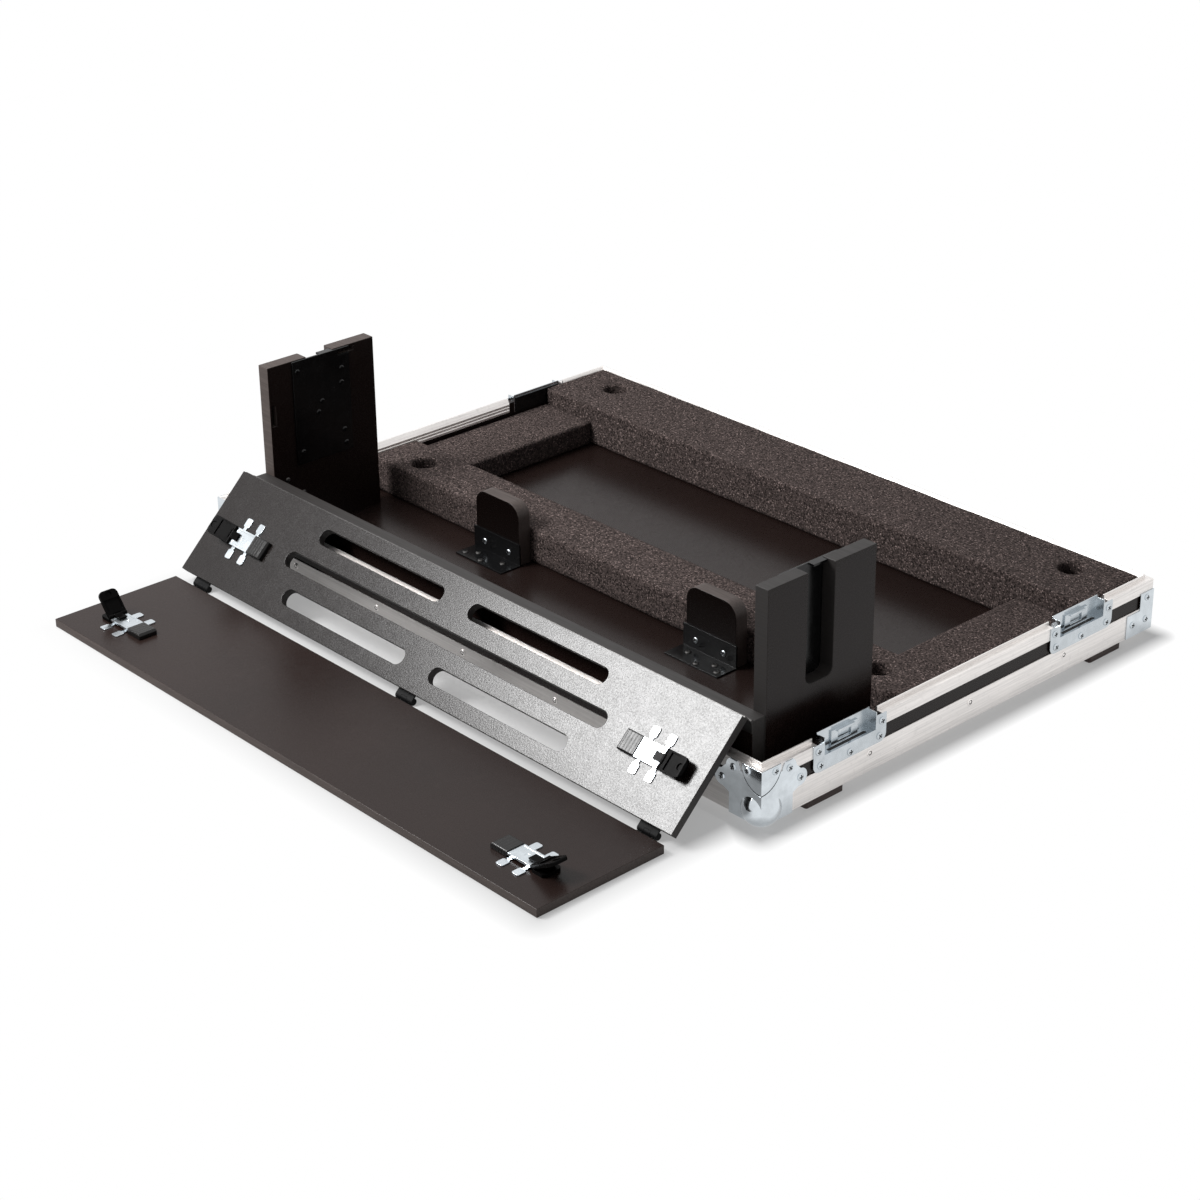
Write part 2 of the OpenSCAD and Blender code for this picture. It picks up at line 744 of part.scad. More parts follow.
// Keeper: a plate with a window and a lip that the lid's hook pulls on
module keeper(y) {
    window_w = keeper_w / 2;
    lip = 3;
    translate([half_w - wall_in + dish_skin, y, recess_low_z]) difference() {
        union() {
            translate([0, -keeper_w / 2, 0]) cube([bracket_t, keeper_w, keeper_h]);
            translate([0, -window_w / 2 - lip, keeper_h - bracket_t])
                cube([bracket_t + lip, window_w + 2 * lip, bracket_t]);
        }
        translate([-over, -window_w / 2, lip]) cube([bracket_t + 2 * over, window_w, keeper_h / 2]);
    }
}

module dish_keepers() { color(zinc) placed() both_sides() for (y = dish_ys) keeper(y); }

module dish_backing_plates() {
    color(black_metal) placed() both_sides() for (y = dish_ys)
        translate([half_w - wall_in - backing_t, y - backing_w / 2, recess_low_z - dish_skin])
        cube([backing_t, backing_w, tongue_top - recess_low_z]);
}

module dish_screws() {
    color(zinc) placed() both_sides() for (y = dish_ys, p = dish_screw_spots)
        translate([half_w + plate_t, y + p[0], dish_low_z + p[1]]) rotate([0, 90, 0]) head(rivet_r, rivet_h);
}

module feet() {
    color(foot_brown) placed() both_sides()
        for (y = [foot_front_y, tray_d - foot_rear_y])
        translate([half_w - foot_inset - foot_w, y - foot_len / 2, 0])
        linear_extrude(foot_h) rounded_outline(foot_w, foot_len, foot_r);
}

// Foam bar across the tray with a round pocket near each end
module foam_bar(y, depth, h, pocket_y) {
    difference() {
        translate([-foam_x, y, foam_z]) cube([2 * foam_x, depth, h - foam_gap]);
        for (x = [-pocket_x, pocket_x])
            translate([x, pocket_y, foam_z - over]) cylinder(r = pocket_r, h = h + 2 * over);
    }
}

module foam_back_bar() {
    color(foam_grey) placed() foam_bar(rear_foam_y, rear_foam_d, rear_foam_h, tray_d - rear_pocket_y);
}
module foam_mid_bar() {
    color(foam_grey) placed() foam_bar(mid_foam_y, mid_foam_d, mid_foam_h, mid_foam_y + mid_pocket_y);
}
module side_foam() {
    translate([foam_x - side_foam_w, side_foam_y, foam_z])
        cube([side_foam_w, side_foam_d, side_foam_h - foam_gap]);
}
module foam_right_block() { color(foam_grey) placed() side_foam(); }
module foam_left_block() { color(foam_grey) placed() mirror([1, 0, 0]) side_foam(); }

// Board under the flap, with a cove along its front edge for the piano hinge's knuckles
module front_board() {
    color(black_ply) placed() difference() {
        translate([-panel_w / 2, board_front, base_top]) cube([panel_w, board_t, board_h]);
        translate([-panel_w / 2 - over, piano_y, piano_z])
            rotate([0, 90, 0]) cylinder(r = piano_r + knuckle_gap, h = panel_w + 2 * over);
    }
}

// Cut for the cable slots of both uprights: open at the top, round at the lower corners
module cable_slot_cut() {
    low = base_top + cable_slot_z;
    translate([-half_w, slot_mid_y, low]) {
        translate([0, -cable_slot_w / 2, cable_slot_r]) cube([tray_w, cable_slot_w, upright_h]);
        translate([0, -cable_slot_w / 2 + cable_slot_r, 0])
            cube([tray_w, cable_slot_w - 2 * cable_slot_r, upright_h]);
        for (y = [-1, 1])
            translate([0, y * (cable_slot_w / 2 - cable_slot_r), cable_slot_r])
            rotate([0, 90, 0]) cylinder(r = cable_slot_r, h = tray_w);
    }
}

// Slots in the right upright's inner face for the tips of the closed levers
module strike_cuts() {
    x = upright_in - slot_plate_t - over;
    translate([x, flap_in_y + strike_low, flap_top_z - flap_latch_s - strike_w / 2])
        cube([strike_depth + slot_plate_t + over, strike_h, strike_w]);
    translate([x, cover_edge_y + cover_latch_s - strike_w / 2, cover_in_z - strike_low - strike_h])
        cube([strike_depth + slot_plate_t + over, strike_w, strike_h]);
}

module upright() {
    difference() {
        translate([upright_in, bay_front_y, base_top]) cube([board_t, upright_d, upright_h]);
        cable_slot_cut();
        strike_cuts();
    }
}
module right_upright() { color(black_ply) placed() upright(); }
module left_upright() { color(black_ply) placed() mirror([1, 0, 0]) upright(); }

// Plate over the inner side of the cable slot, with a tab bent into the slot
module slot_plate() {
    difference() {
        translate([upright_in - slot_plate_t, slot_mid_y - slot_plate_w / 2, base_top + slot_plate_z])
            cube([slot_plate_t, slot_plate_w, slot_plate_h]);
        strike_cuts();
    }
    translate([upright_in - slot_plate_t, slot_mid_y + cable_slot_w / 2 - slot_tab_w - foam_gap,
               base_top + slot_plate_z + slot_plate_h - slot_plate_t])
        cube([slot_plate_t + slot_tab_d, slot_tab_w, slot_plate_t]);
}
module right_slot_plate() { color(black_metal) placed() slot_plate(); }
module left_slot_plate() { color(black_metal) placed() mirror([1, 0, 0]) slot_plate(); }

module slot_plate_bolts() {
    color(black_metal) placed() both_sides() translate([upright_in, slot_mid_y, base_top + slot_plate_z]) {
        for (p = plate_bolts)
            translate([-slot_plate_t, p[0], p[1]]) rotate([0, -90, 0]) head(rivet_r, rivet_h);
        for (p = upright_screws) translate([0, p[0], p[1]]) rotate([0, -90, 0]) head(rivet_r, rivet_h);
    }
}

// Post with round upper corners that keeps cables off the desk
module stop_post() {
    translate([post_x - post_w / 2, post_y + post_t, base_top]) rotate([90, 0, 0]) linear_extrude(post_t) {
        square([post_w, post_h - post_r]);
        translate([post_r, 0]) square([post_w - 2 * post_r, post_h]);
        for (x = [post_r, post_w - post_r]) translate([x, post_h - post_r]) circle(post_r);
    }
}
module right_stop_post() { color(black_ply) placed() stop_post(); }
module left_stop_post() { color(black_ply) placed() mirror([1, 0, 0]) stop_post(); }

module post_bracket() {
    translate([post_x - bracket_w / 2, post_y, base_top]) rotate([90, 0, 90]) linear_extrude(bracket_w)
        polygon([[-bracket_d, 0], [0, 0], [0, bracket_h], [-bracket_t, bracket_h],
                 [-bracket_t, bracket_t], [-bracket_d, bracket_t]]);
}
module right_post_bracket() { color(black_metal) placed() post_bracket(); }
module left_post_bracket() { color(black_metal) placed() mirror([1, 0, 0]) post_bracket(); }

module bracket_screws() {
    color(zinc) placed() both_sides() {
        for (p = bracket_upper_screws)
            translate([post_x + p[0], post_y - bracket_t, base_top + p[1]])
            rotate([90, 0, 0]) head(rivet_r, rivet_h);
        for (p = bracket_lower_screws)
            translate([post_x + p[0], post_y - p[1], base_top + bracket_t]) head(rivet_r, rivet_h);
    }
}

// Knuckles along X from x = 0: every second one, starting with the first or the second
module knuckle_row(len, count, r, first) {
    pitch = len / count;
    for (i = [first:2:count - 1])
        translate([i * pitch + knuckle_gap / 2, 0, 0]) rotate([0, 90, 0]) cylinder(r = r, h = pitch - knuckle_gap);
}

// Short strips that join the knuckles to a leaf, from the axis to reach, between z_from and z_to
module knuckle_necks(len, count, reach, z_from, z_to, first) {
    pitch = len / count;
    for (i = [first:2:count - 1])
        translate([i * pitch + knuckle_gap / 2, 0, z_from]) cube([pitch - knuckle_gap, reach, z_to - z_from]);
}

// One half of the piano hinge round its axis: a leaf along Y that lies z_from above it, knuckles and bore
module piano_half(first, z_from, bore_r) {
    reach = piano_r + knuckle_gap;
    translate([-panel_w / 2, 0, 0]) difference() {
        union() {
            translate([0, reach, z_from]) cube([panel_w, piano_leaf_w - reach, piano_leaf_t]);
            knuckle_necks(panel_w, piano_knuckles, reach + over, z_from, z_from + piano_leaf_t, first);
            knuckle_row(panel_w, piano_knuckles, piano_r, first);
        }
        translate([-over, 0, 0]) rotate([0, 90, 0]) cylinder(r = bore_r, h = panel_w + 2 * over);
    }
}

// The fixed leaf hangs down the board's front face, and the moving one is under the closed flap
module piano_hinge_fixed_leaf() {
    color(bare_metal) placed() translate([0, piano_y, piano_z]) rotate([-90, 0, 0])
        piano_half(0, piano_out - piano_leaf_t, piano_pin_r);
}
module piano_hinge_moving_leaf() {
    color(bare_metal) flap_open_pose() translate([0, piano_y, piano_z])
        piano_half(1, knuckle_gap, piano_pin_r + pin_gap);
}
module piano_hinge_pin() {
    color(bare_metal) placed()
        translate([-panel_w / 2, piano_y, piano_z]) rotate([0, 90, 0]) cylinder(r = piano_pin_r, h = panel_w);
}

// Draws its children at each of the three strap hinges
module at_straps() { for (x = [-strap_x, 0, strap_x]) translate([x, 0, 0]) children(); }

// The flap stands upright when closed: its slots are cut from the outer face to the inner face
module slotted_flap() {
    color(black_ply) flap_open_pose() difference() {
        translate([-panel_w / 2, flap_out_y, flap_low_z]) cube([panel_w, panel_t, flap_top_z - flap_low_z]);
        translate([0, flap_in_y + over, flap_top_z]) rotate([90, 0, 0]) {
            translate([0, -slot_first - slot_pitch, 0])
                slot_cut(-slot_mid_x, slot_mid_x, slot_w, panel_t + 2 * over);
            for (row = [0, 2], side = [0, 1])
                mirror([side, 0, 0]) translate([0, -slot_first - row * slot_pitch, 0])
                slot_cut(slot_in_x, slot_out_x, slot_w, panel_t + 2 * over);
        }
        at_straps()
            translate([-strap_w / 2, flap_out_y - over, flap_top_z - strap_len])
            cube([strap_w, strap_leaf_y + strap_t - flap_out_y + over, strap_len + over]);
    }
}

// Cylinder round a strap hinge's axis, over one of its thirds: -1 left, 0 middle, 1 right
module strap_knuckle(third, r, grow) {
    len = strap_third + grow;
    translate([third * strap_third - len / 2, strap_y, strap_z]) rotate([0, 90, 0]) cylinder(r = r, h = len);
}

module strap_bore(r) {
    translate([-strap_w, strap_y, strap_z]) rotate([0, 90, 0]) cylinder(r = r, h = 2 * strap_w);
}

module flap_strap_leaf() {
    difference() {
        union() {
            translate([-strap_w / 2 + knuckle_gap / 2, strap_leaf_y, flap_top_z - strap_len])
                cube([strap_w - knuckle_gap, strap_t, strap_z - flap_top_z + strap_len]);
            for (third = [-1, 1]) strap_knuckle(third, strap_r, -knuckle_gap);
        }
        strap_knuckle(0, strap_r + knuckle_gap, knuckle_gap);
        strap_bore(strap_pin_r);
    }
}
module flap_strap_leaves() { color(black_metal) flap_open_pose() at_straps() flap_strap_leaf(); }

module cover_strap_leaf() {
    leaf_z = cover_in_z + panel_t - strap_t;
    difference() {
        union() {
            translate([-strap_w / 2, strap_y, leaf_z]) cube([strap_w, cover_edge_y + strap_len - strap_y, strap_t]);
            strap_knuckle(0, strap_r, -knuckle_gap);
        }
        for (third = [-1, 1]) strap_knuckle(third, strap_r + knuckle_gap, knuckle_gap);
        strap_bore(strap_pin_r + pin_gap);
    }
}
module cover_strap_leaves() { color(black_metal) cover_open_pose() at_straps() cover_strap_leaf(); }

module strap_hinge_pins() {
    color(black_metal) flap_open_pose() at_straps()
        translate([-strap_w / 2, strap_y, strap_z]) rotate([0, 90, 0]) cylinder(r = strap_pin_r, h = strap_w);
}

module top_cover() {
    color(black_ply) cover_open_pose() difference() {
        translate([-panel_w / 2, cover_edge_y, cover_in_z]) cube([panel_w, cover_d, panel_t]);
        at_straps()
            translate([-strap_w / 2, cover_edge_y - over, cover_in_z + panel_t - strap_t])
            cube([strap_w, strap_len + over, strap_t + over]);
    }
}

// Puts a latch on the flap: its own Z points away from the inner face, and X outboard
module on_flap(side) {
    flap_open_pose() mirror([side, 0, 0])
        translate([0, flap_in_y, flap_top_z - flap_latch_s]) rotate([-90, 0, 0]) children();
}

// Puts a latch on the open cover, whose inner face is up
module on_cover(side) {
    placed() mirror([side, 0, 0]) translate([0, cover_rest_edge - cover_latch_s, panel_t]) children();
}

// Tab of a bridge: a leg, a narrow neck and a rounded paddle, along Y from the bridge's side
module bridge_tab() {
    reach = (bridge_span - bridge_w) / 2;
    translate([-tab_neck_w / 2, -bridge_t, 0]) {
        cube([tab_neck_w, bridge_t, bridge_h - bridge_t / 2]);
        cube([tab_neck_w, bridge_t + tab_neck_len + tab_r, bridge_t]);
    }
    translate([-tab_w / 2, tab_neck_len, 0]) linear_extrude(bridge_t)
        rounded_outline(tab_w, reach - tab_neck_len, tab_r);
}

// Bridge over the sliding bar: a pressed top with a dimple, side skirts and two tabs on each side
module latch_bridge() {
    translate([latch_x, 0, 0]) {
        difference() {
            translate([-bridge_len / 2, -bridge_w / 2, bridge_h - bridge_skirt])
                cube([bridge_len, bridge_w, bridge_skirt]);
            translate([-bridge_len / 2 - over, bridge_t - bridge_w / 2, bridge_h - bridge_skirt - over])
                cube([bridge_len + 2 * over, bridge_w - 2 * bridge_t, bridge_skirt - bridge_t + over]);
            translate([bridge_rim - bridge_len / 2, bridge_rim - bridge_w / 2, bridge_h - bridge_press])
                cube([bridge_len - 2 * bridge_rim, bridge_w - 2 * bridge_rim, bridge_press + over]);
            translate([0, 0, bridge_h - 2 * bridge_press]) cylinder(r = dimple_r, h = bridge_press + over);
        }
        for (x = [-1, 1], y = [0, 1])
            mirror([0, y, 0]) translate([x * (bridge_len - tab_w) / 2, bridge_w / 2, 0]) bridge_tab();
    }
}
module flap_latch_bridges() { color(zinc) for (side = [0, 1]) on_flap(side) latch_bridge(); }
module cover_latch_bridges() { color(zinc) for (side = [0, 1]) on_cover(side) latch_bridge(); }

// End block with sloped edges, hollow inside for the head of the sliding bar
module latch_block() {
    head_room = bar_head_w + 2 * bar_gap;
    mouth = bar_w + 2 * bar_gap;
    half = block_w / 2;
    difference() {
        intersection() {
            translate([block_in, 0, 0]) run_along_x(block_len)
                polygon([[-half, 0], [half, 0], [half, block_h - block_edge], [half - block_edge, block_h],
                         [block_edge - half, block_h], [-half, block_h - block_edge]]);
            translate([block_in, half, 0]) rotate([90, 0, 0]) linear_extrude(block_w)
                polygon([[0, 0], [block_len, 0], [block_len, block_h], [block_slope, block_h],
                         [0, block_h - block_slope]]);
        }
        translate([bar_in - bar_gap, -head_room / 2, -over])
            cube([bar_head_len + bar_travel + 2 * bar_gap, head_room, bar_t + bar_gap + over]);
        translate([bar_in, -mouth / 2, -over]) cube([block_len, mouth, bar_t + bar_gap + over]);
    }
}
module flap_latch_blocks() { color(black_plastic) for (side = [0, 1]) on_flap(side) latch_block(); }
module cover_latch_blocks() { color(black_plastic) for (side = [0, 1]) on_cover(side) latch_block(); }

// Sliding bar with its head, its wide nose, the lug and thumb piece, and the lever's pin
module latch_bar() {
    nose_in = bridge_end + pivot_gap / 2;
    thumb_low = bridge_h + bar_gap;
    difference() {
        union() {
            translate([bar_in, -bar_head_w / 2, 0]) cube([bar_head_len, bar_head_w, bar_t]);
            translate([bar_in, -bar_w / 2, 0]) cube([nose_in - bar_in + nose_r, bar_w, bar_t]);
            translate([nose_in, -block_w / 2, 0]) linear_extrude(bar_t)
                rounded_outline(bar_out - nose_in, block_w, nose_r);
            translate([pivot_x - lever_barrel_r, -lug_w / 2, bar_t - over])
                cube([2 * lever_barrel_r, lug_w, pivot_h - bar_t + over]);
            translate([pivot_x - thumb_len, -lug_w / 2, thumb_low])
                cube([thumb_len, lug_w, pivot_h + lever_barrel_r - thumb_drop - thumb_low]);
            translate([pivot_x, lug_w / 2, pivot_h]) rotate([90, 0, 0]) cylinder(r = lever_barrel_r, h = lug_w);
        }
        translate([pivot_x, lug_w, pivot_h]) rotate([90, 0, 0]) cylinder(r = lever_pin_r + pin_gap, h = 2 * lug_w);
    }
    translate([pivot_x, block_w / 2, pivot_h]) rotate([90, 0, 0]) cylinder(r = lever_pin_r, h = block_w);
}
module flap_left_latch_bar() { color(black_plastic) on_flap(1) latch_bar(); }
module flap_right_latch_bar() { color(black_plastic) on_flap(0) latch_bar(); }
module cover_left_latch_bar() { color(black_plastic) on_cover(1) latch_bar(); }
module cover_right_latch_bar() { color(black_plastic) on_cover(0) latch_bar(); }

// Lever: two barrels beside the lug, and a blade with a pocket, a finger dimple and a rounded tip
module latch_lever(angle) {
    tip_r = 7;
    tip_drop = 3;
    rim = 2;
    pocket = 1.6;
    ring_r = 4;
    ring_x = lever_len - rim - ring_r;
    pocket_in = 2 * lever_barrel_r + rim;
    notch = lug_w + 2 * bar_gap;
    top = lever_t - lever_barrel_r;
    translate([pivot_x, 0, pivot_h]) rotate([0, -angle, 0]) difference() {
        union() {
            translate([0, block_w / 2, 0]) rotate([90, 0, 0]) cylinder(r = lever_barrel_r, h = block_w);
            translate([0, -block_w / 2, -lever_barrel_r]) linear_extrude(lever_t) {
                square([lever_len - tip_r, block_w]);
                translate([0, tip_r]) square([lever_len, block_w - 2 * tip_r]);
                for (y = [tip_r, block_w - tip_r]) translate([lever_len - tip_r, y]) circle(tip_r);
            }
        }
        translate([-lug_w, -notch / 2, -lug_w]) cube([lug_w + lever_barrel_r + bar_gap, notch, 2 * lug_w]);
        translate([0, block_w, 0]) rotate([90, 0, 0]) cylinder(r = lever_pin_r + pin_gap, h = 2 * block_w);
        translate([pocket_in, rim - block_w / 2, top - pocket])
            cube([ring_x - ring_r - rim - pocket_in, block_w - 2 * rim, pocket + over]);
        translate([ring_x, 0, top - pocket]) cylinder(r = ring_r, h = pocket + over);
        translate([lever_len - tip_drop, block_w, top - tip_drop]) rotate([90, 0, 0]) difference() {
            cube([tip_drop + over, tip_drop + over, 2 * block_w]);
            translate([0, 0, -over]) cylinder(r = tip_drop, h = 2 * block_w + 2 * over);
        }
    }
}
module flap_left_latch_lever() { color(black_plastic) on_flap(1) latch_lever(flap_left_angle); }
module flap_right_latch_lever() { color(black_plastic) on_flap(0) latch_lever(flap_right_angle); }
module cover_left_latch_lever() { color(black_plastic) on_cover(1) latch_lever(cover_left_angle); }
module cover_right_latch_lever() { color(black_plastic) on_cover(0) latch_lever(cover_right_angle); }

base_board();
front_wall_panel();
back_wall_panel();
left_wall_panel();
right_wall_panel();
front_lid_extrusion();
back_lid_extrusion();
left_lid_extrusion();
right_lid_extrusion();
front_edge_angle();
back_edge_angle();
left_edge_angle();
right_edge_angle();
front_ball_corners();
front_corner_braces();
rear_corner_plates();
left_latch_dishes();
right_latch_dishes();
dish_keepers();
dish_backing_plates();
edge_rivets();
corner_screws();
dish_screws();
feet();
foam_back_bar();
foam_mid_bar();
foam_left_block();
foam_right_block();
front_board();
left_upright();
right_upright();
left_slot_plate();
right_slot_plate();
slot_plate_bolts();
left_stop_post();
right_stop_post();
left_post_bracket();
right_post_bracket();
bracket_screws();
piano_hinge_fixed_leaf();
piano_hinge_moving_leaf();
piano_hinge_pin();
slotted_flap();
flap_strap_leaves();
strap_hinge_pins();
flap_latch_bridges();
flap_latch_blocks();
top_cover();
cover_strap_leaves();
cover_latch_bridges();
cover_latch_blocks();
flap_left_latch_bar();
flap_right_latch_bar();
cover_left_latch_bar();
cover_right_latch_bar();
flap_left_latch_lever();
flap_right_latch_lever();
cover_left_latch_lever();
cover_right_latch_lever();
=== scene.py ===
import json
import math

import bmesh
import bpy
from mathutils import Matrix, Vector, noise


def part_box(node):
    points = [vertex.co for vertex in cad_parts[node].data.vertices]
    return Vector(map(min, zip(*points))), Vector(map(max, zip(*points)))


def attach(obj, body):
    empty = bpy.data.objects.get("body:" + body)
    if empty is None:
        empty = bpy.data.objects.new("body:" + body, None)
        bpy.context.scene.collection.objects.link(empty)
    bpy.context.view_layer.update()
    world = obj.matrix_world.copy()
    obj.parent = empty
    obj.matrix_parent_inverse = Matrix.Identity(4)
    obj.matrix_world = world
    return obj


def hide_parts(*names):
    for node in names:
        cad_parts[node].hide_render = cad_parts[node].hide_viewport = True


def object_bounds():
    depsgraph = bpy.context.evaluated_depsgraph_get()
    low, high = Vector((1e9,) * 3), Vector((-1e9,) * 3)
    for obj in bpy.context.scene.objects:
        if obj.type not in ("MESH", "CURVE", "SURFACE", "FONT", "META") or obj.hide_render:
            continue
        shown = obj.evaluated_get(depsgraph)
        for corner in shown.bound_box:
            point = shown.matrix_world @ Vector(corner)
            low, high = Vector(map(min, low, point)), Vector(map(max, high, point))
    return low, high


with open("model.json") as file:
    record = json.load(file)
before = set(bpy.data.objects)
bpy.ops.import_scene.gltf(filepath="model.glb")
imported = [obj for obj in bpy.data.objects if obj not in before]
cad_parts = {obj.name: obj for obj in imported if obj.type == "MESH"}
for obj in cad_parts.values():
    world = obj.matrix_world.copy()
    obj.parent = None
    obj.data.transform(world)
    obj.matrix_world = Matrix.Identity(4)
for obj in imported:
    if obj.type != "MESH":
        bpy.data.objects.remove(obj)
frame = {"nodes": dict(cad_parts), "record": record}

bl_info = {
    "name": "Mixer Case Tray",
    "version": (1, 0, 0),
    "blender": (4, 5, 0),
    "location": "3D View > Sidebar > Mixer Case",
    "description": "Finishes and fine detail for the bottom tray of a mixer flight case",
    "category": "Object",
}

MM = 0.001
CAD_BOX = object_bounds()
BODY_OF = {node: body for body, nodes in frame["record"]["behaviour"]["bodies"].items() for node in nodes}
JOINTS = {joint["name"]: joint for joint in frame["record"]["behaviour"]["joints"]}
FLAP_OPEN = -math.radians(JOINTS["flap_hinge"]["range_deg"][0])
# A fixed seed, because mathutils.noise takes the clock's where none is set
FOAM_SEED = 5

# CAD vertices closer than this are one
JOIN_WITHIN = 0.002 * MM
# Points this near the end of a fastener lie on that end
END_BAND = 0.01 * MM
# A board's face belongs to its cut edge where its normal has less than this along the board's thickness
EDGE_NORMAL = 0.6
# Rounding of the latches' moulded parts, as multiples of the metal edge
BLOCK_ROUNDING = 2.0
LEVER_ROUNDING = 1.6
# Bracket screws lower than this above the bracket's underside sit on its floor leg, in the shade
FLOOR_LEG = 6 * MM
# Unevenness of the foam's faces, as waves per metre and share
FOAM_WAVES = ((17.0, 1.0), (60.0, 0.5))

# The photo's camera, solved from the tray's edges: pixels of the photo, radians and metres
PHOTO_SIDE = 1200
FOCAL_LENGTH = 2611.1
OPTICAL_CENTRE = (634.9, 558.1)
YAW, PITCH, ROLL = -0.8187, 0.4421, -0.0044
EYE = (2.0223, -1.8181, 1.3721)


# Sizes and colours a user would change

def length(name, description, default):
    return bpy.props.FloatProperty(name=name, description=description, default=default, unit="LENGTH")


def colour(name, description, *default):
    return bpy.props.FloatVectorProperty(name=name, description=description, default=default, subtype="COLOR")


class CaseSizes(bpy.types.PropertyGroup):
    board_edge: length("Board edge", "Rounding of the boards' edges", 0.7 * MM)
    metal_edge: length("Metal edge", "Rounding of sheet metal edges", 0.25 * MM)
    foam_voxel: length("Foam grid", "Grid of the foam's surface", 3.2 * MM)
    foam_wave: length("Foam unevenness", "How far the foam's faces wander from flat", 0.5 * MM)
    screw_turns: bpy.props.IntProperty(
        name="Screw seed", description="Seed for the angle each screw stopped at", default=7)


class CaseColours(bpy.types.PropertyGroup):
    film: colour("Film", "Phenolic film of the boards", 0.0165, 0.0097, 0.0083)
    cut_edge: colour("Cut edge", "Stained edges of the boards", 0.040, 0.028, 0.024)
    foam: colour("Foam", "Cut foam", 0.047, 0.036, 0.0335)
    aluminium: colour("Aluminium", "Bare extrusions and angles", 0.88, 0.85, 0.83)
    zinc: colour("Zinc", "Blue-white zinc plating", 0.55, 0.59, 0.62)
    black_metal: colour("Black steel", "Powder-coated steel", 0.003, 0.003, 0.0033)
    moulding: colour("Moulding", "Black plastic of the latches", 0.005, 0.0045, 0.0045)
    foot: colour("Feet", "Stained blocks under the tray", 0.030, 0.016, 0.013)


# Shader building

class Flow:
    """A shader socket that takes part in Python arithmetic."""

    def __init__(self, finish, socket):
        self.finish = finish
        self.socket = socket

    def _math(self, operation, first, second):
        return self.finish.node("ShaderNodeMath", {"operation": operation}, {0: first, 1: second})

    def __add__(self, other):
        return self._math("ADD", self, other)

    def __mul__(self, other):
        return self._math("MULTIPLY", self, other)

    def lesser(self, other):
        return self._math("MINIMUM", self, other)

    def greater(self, other):
        return self._math("MAXIMUM", self, other)


class Finish:
    """A material, or a world, under construction."""

    def __init__(self, name, world=None):
        self.material = world or bpy.data.materials.new(name)
        self.material.use_nodes = True
        self.tree = self.material.node_tree
        self.tree.nodes.clear()

    def node(self, kind, settings=None, inputs=None, output=0):
        made = self.tree.nodes.new(kind)
        for key, value in (settings or {}).items():
            setattr(made, key, value)
        for key, value in (inputs or {}).items():
            if isinstance(value, Flow):
                self.tree.links.new(value.socket, made.inputs[key])
            else:
                made.inputs[key].default_value = value
        return Flow(self, made.outputs[output]) if made.outputs else None

    def place(self, stretch=(1, 1, 1)):
        """Object coordinates, stretched so that a pattern can run along one axis."""
        spot = self.node("ShaderNodeTexCoord", output="Object")
        return self.node("ShaderNodeMapping", None, {"Vector": spot, "Scale": stretch})

    def path(self, kind):
        """Whether a ray is of a kind."""
        return self.node("ShaderNodeLightPath", output=kind)

    def noise(self, spot, scale, detail=3.0, rough=0.5):
        return self.node("ShaderNodeTexNoise", None, {
            "Vector": spot, "Scale": scale, "Detail": detail, "Roughness": rough})

    def cells(self, spot, scale):
        return self.node("ShaderNodeTexVoronoi", None, {"Vector": spot, "Scale": scale})

    def blend(self, factor, dark, light):
        """Mixes two colours."""
        made = self.tree.nodes.new("ShaderNodeMix")
        made.data_type = "RGBA"
        for key, value in (("Factor_Float", factor), ("A_Color", dark), ("B_Color", light)):
            socket = next(s for s in made.inputs if s.identifier == key)
            if isinstance(value, Flow):
                self.tree.links.new(value.socket, socket)
            elif key == "Factor_Float":
                socket.default_value = value
            else:
                socket.default_value = (*tuple(value)[:3], 1.0)
        return Flow(self, next(s for s in made.outputs if s.identifier == "Result_Color"))

    def span(self, value, low, high, to_low=0.0, to_high=1.0):
        """Carries a value from one range to another and stops at its ends."""
        return self.node("ShaderNodeMapRange", {"clamp": True}, {
            "Value": value, "From Min": low, "From Max": high, "To Min": to_low, "To Max": to_high})

    def bump(self, height, depth, strength=1.0, normal=None):
        inputs = {"Height": height, "Distance": depth, "Strength": strength}
        if normal:
            inputs["Normal"] = normal
        return self.node("ShaderNodeBump", None, inputs)

    def surface(self, **values):
        """Ends the material in a Principled shader."""
        inputs = {}
        for key, value in values.items():
            key = key.replace("_", " ").title().replace("Ior", "IOR")
            if isinstance(value, tuple) and len(value) == 3:
                value = (*value, 1.0)
            inputs[key] = value
        shader = self.node("ShaderNodeBsdfPrincipled", None, inputs)
        self.node("ShaderNodeOutputMaterial", None, {"Surface": shader})
        return self.material


def tint(colour, by):
    return tuple(min(1.0, c * by) for c in tuple(colour)[:3])


def drawn(along, slow, fast):
    """A stretch for a pattern that runs along one axis, as waves per metre along and across it."""
    return tuple(slow if axis == along else fast for axis in "xyz")


def film_finish(name, colour, grain=900.0, depth=0.02 * MM, rough=0.27, level=0.2, uneven=0.06):
    """Phenolic film with a pressed grain, given as waves per metre and depth."""
    f = Finish(name)
    spot = f.place()
    cloud = f.noise(spot, scale=5.0, detail=4.0)
    scuff = f.noise(spot, scale=70.0, detail=5.0, rough=0.6)
    colour_mix = f.blend(f.span(cloud, 0.3, 0.7), tint(colour, 0.86), tint(colour, 1.16))
    dust = f.span(scuff, 0.58, 0.78, 0.0, 0.16)
    base = f.blend(dust, colour_mix, tint(colour, 2.1))
    fine = f.noise(spot, scale=grain, detail=2.0, rough=0.6)
    roughness = f.span(scuff * 0.4 + fine, 0.45, 0.95, rough + uneven, rough - uneven)
    return f.surface(base_color=base, roughness=roughness, ior=1.45, specular_ior_level=level,
                     normal=f.bump(fine, depth))


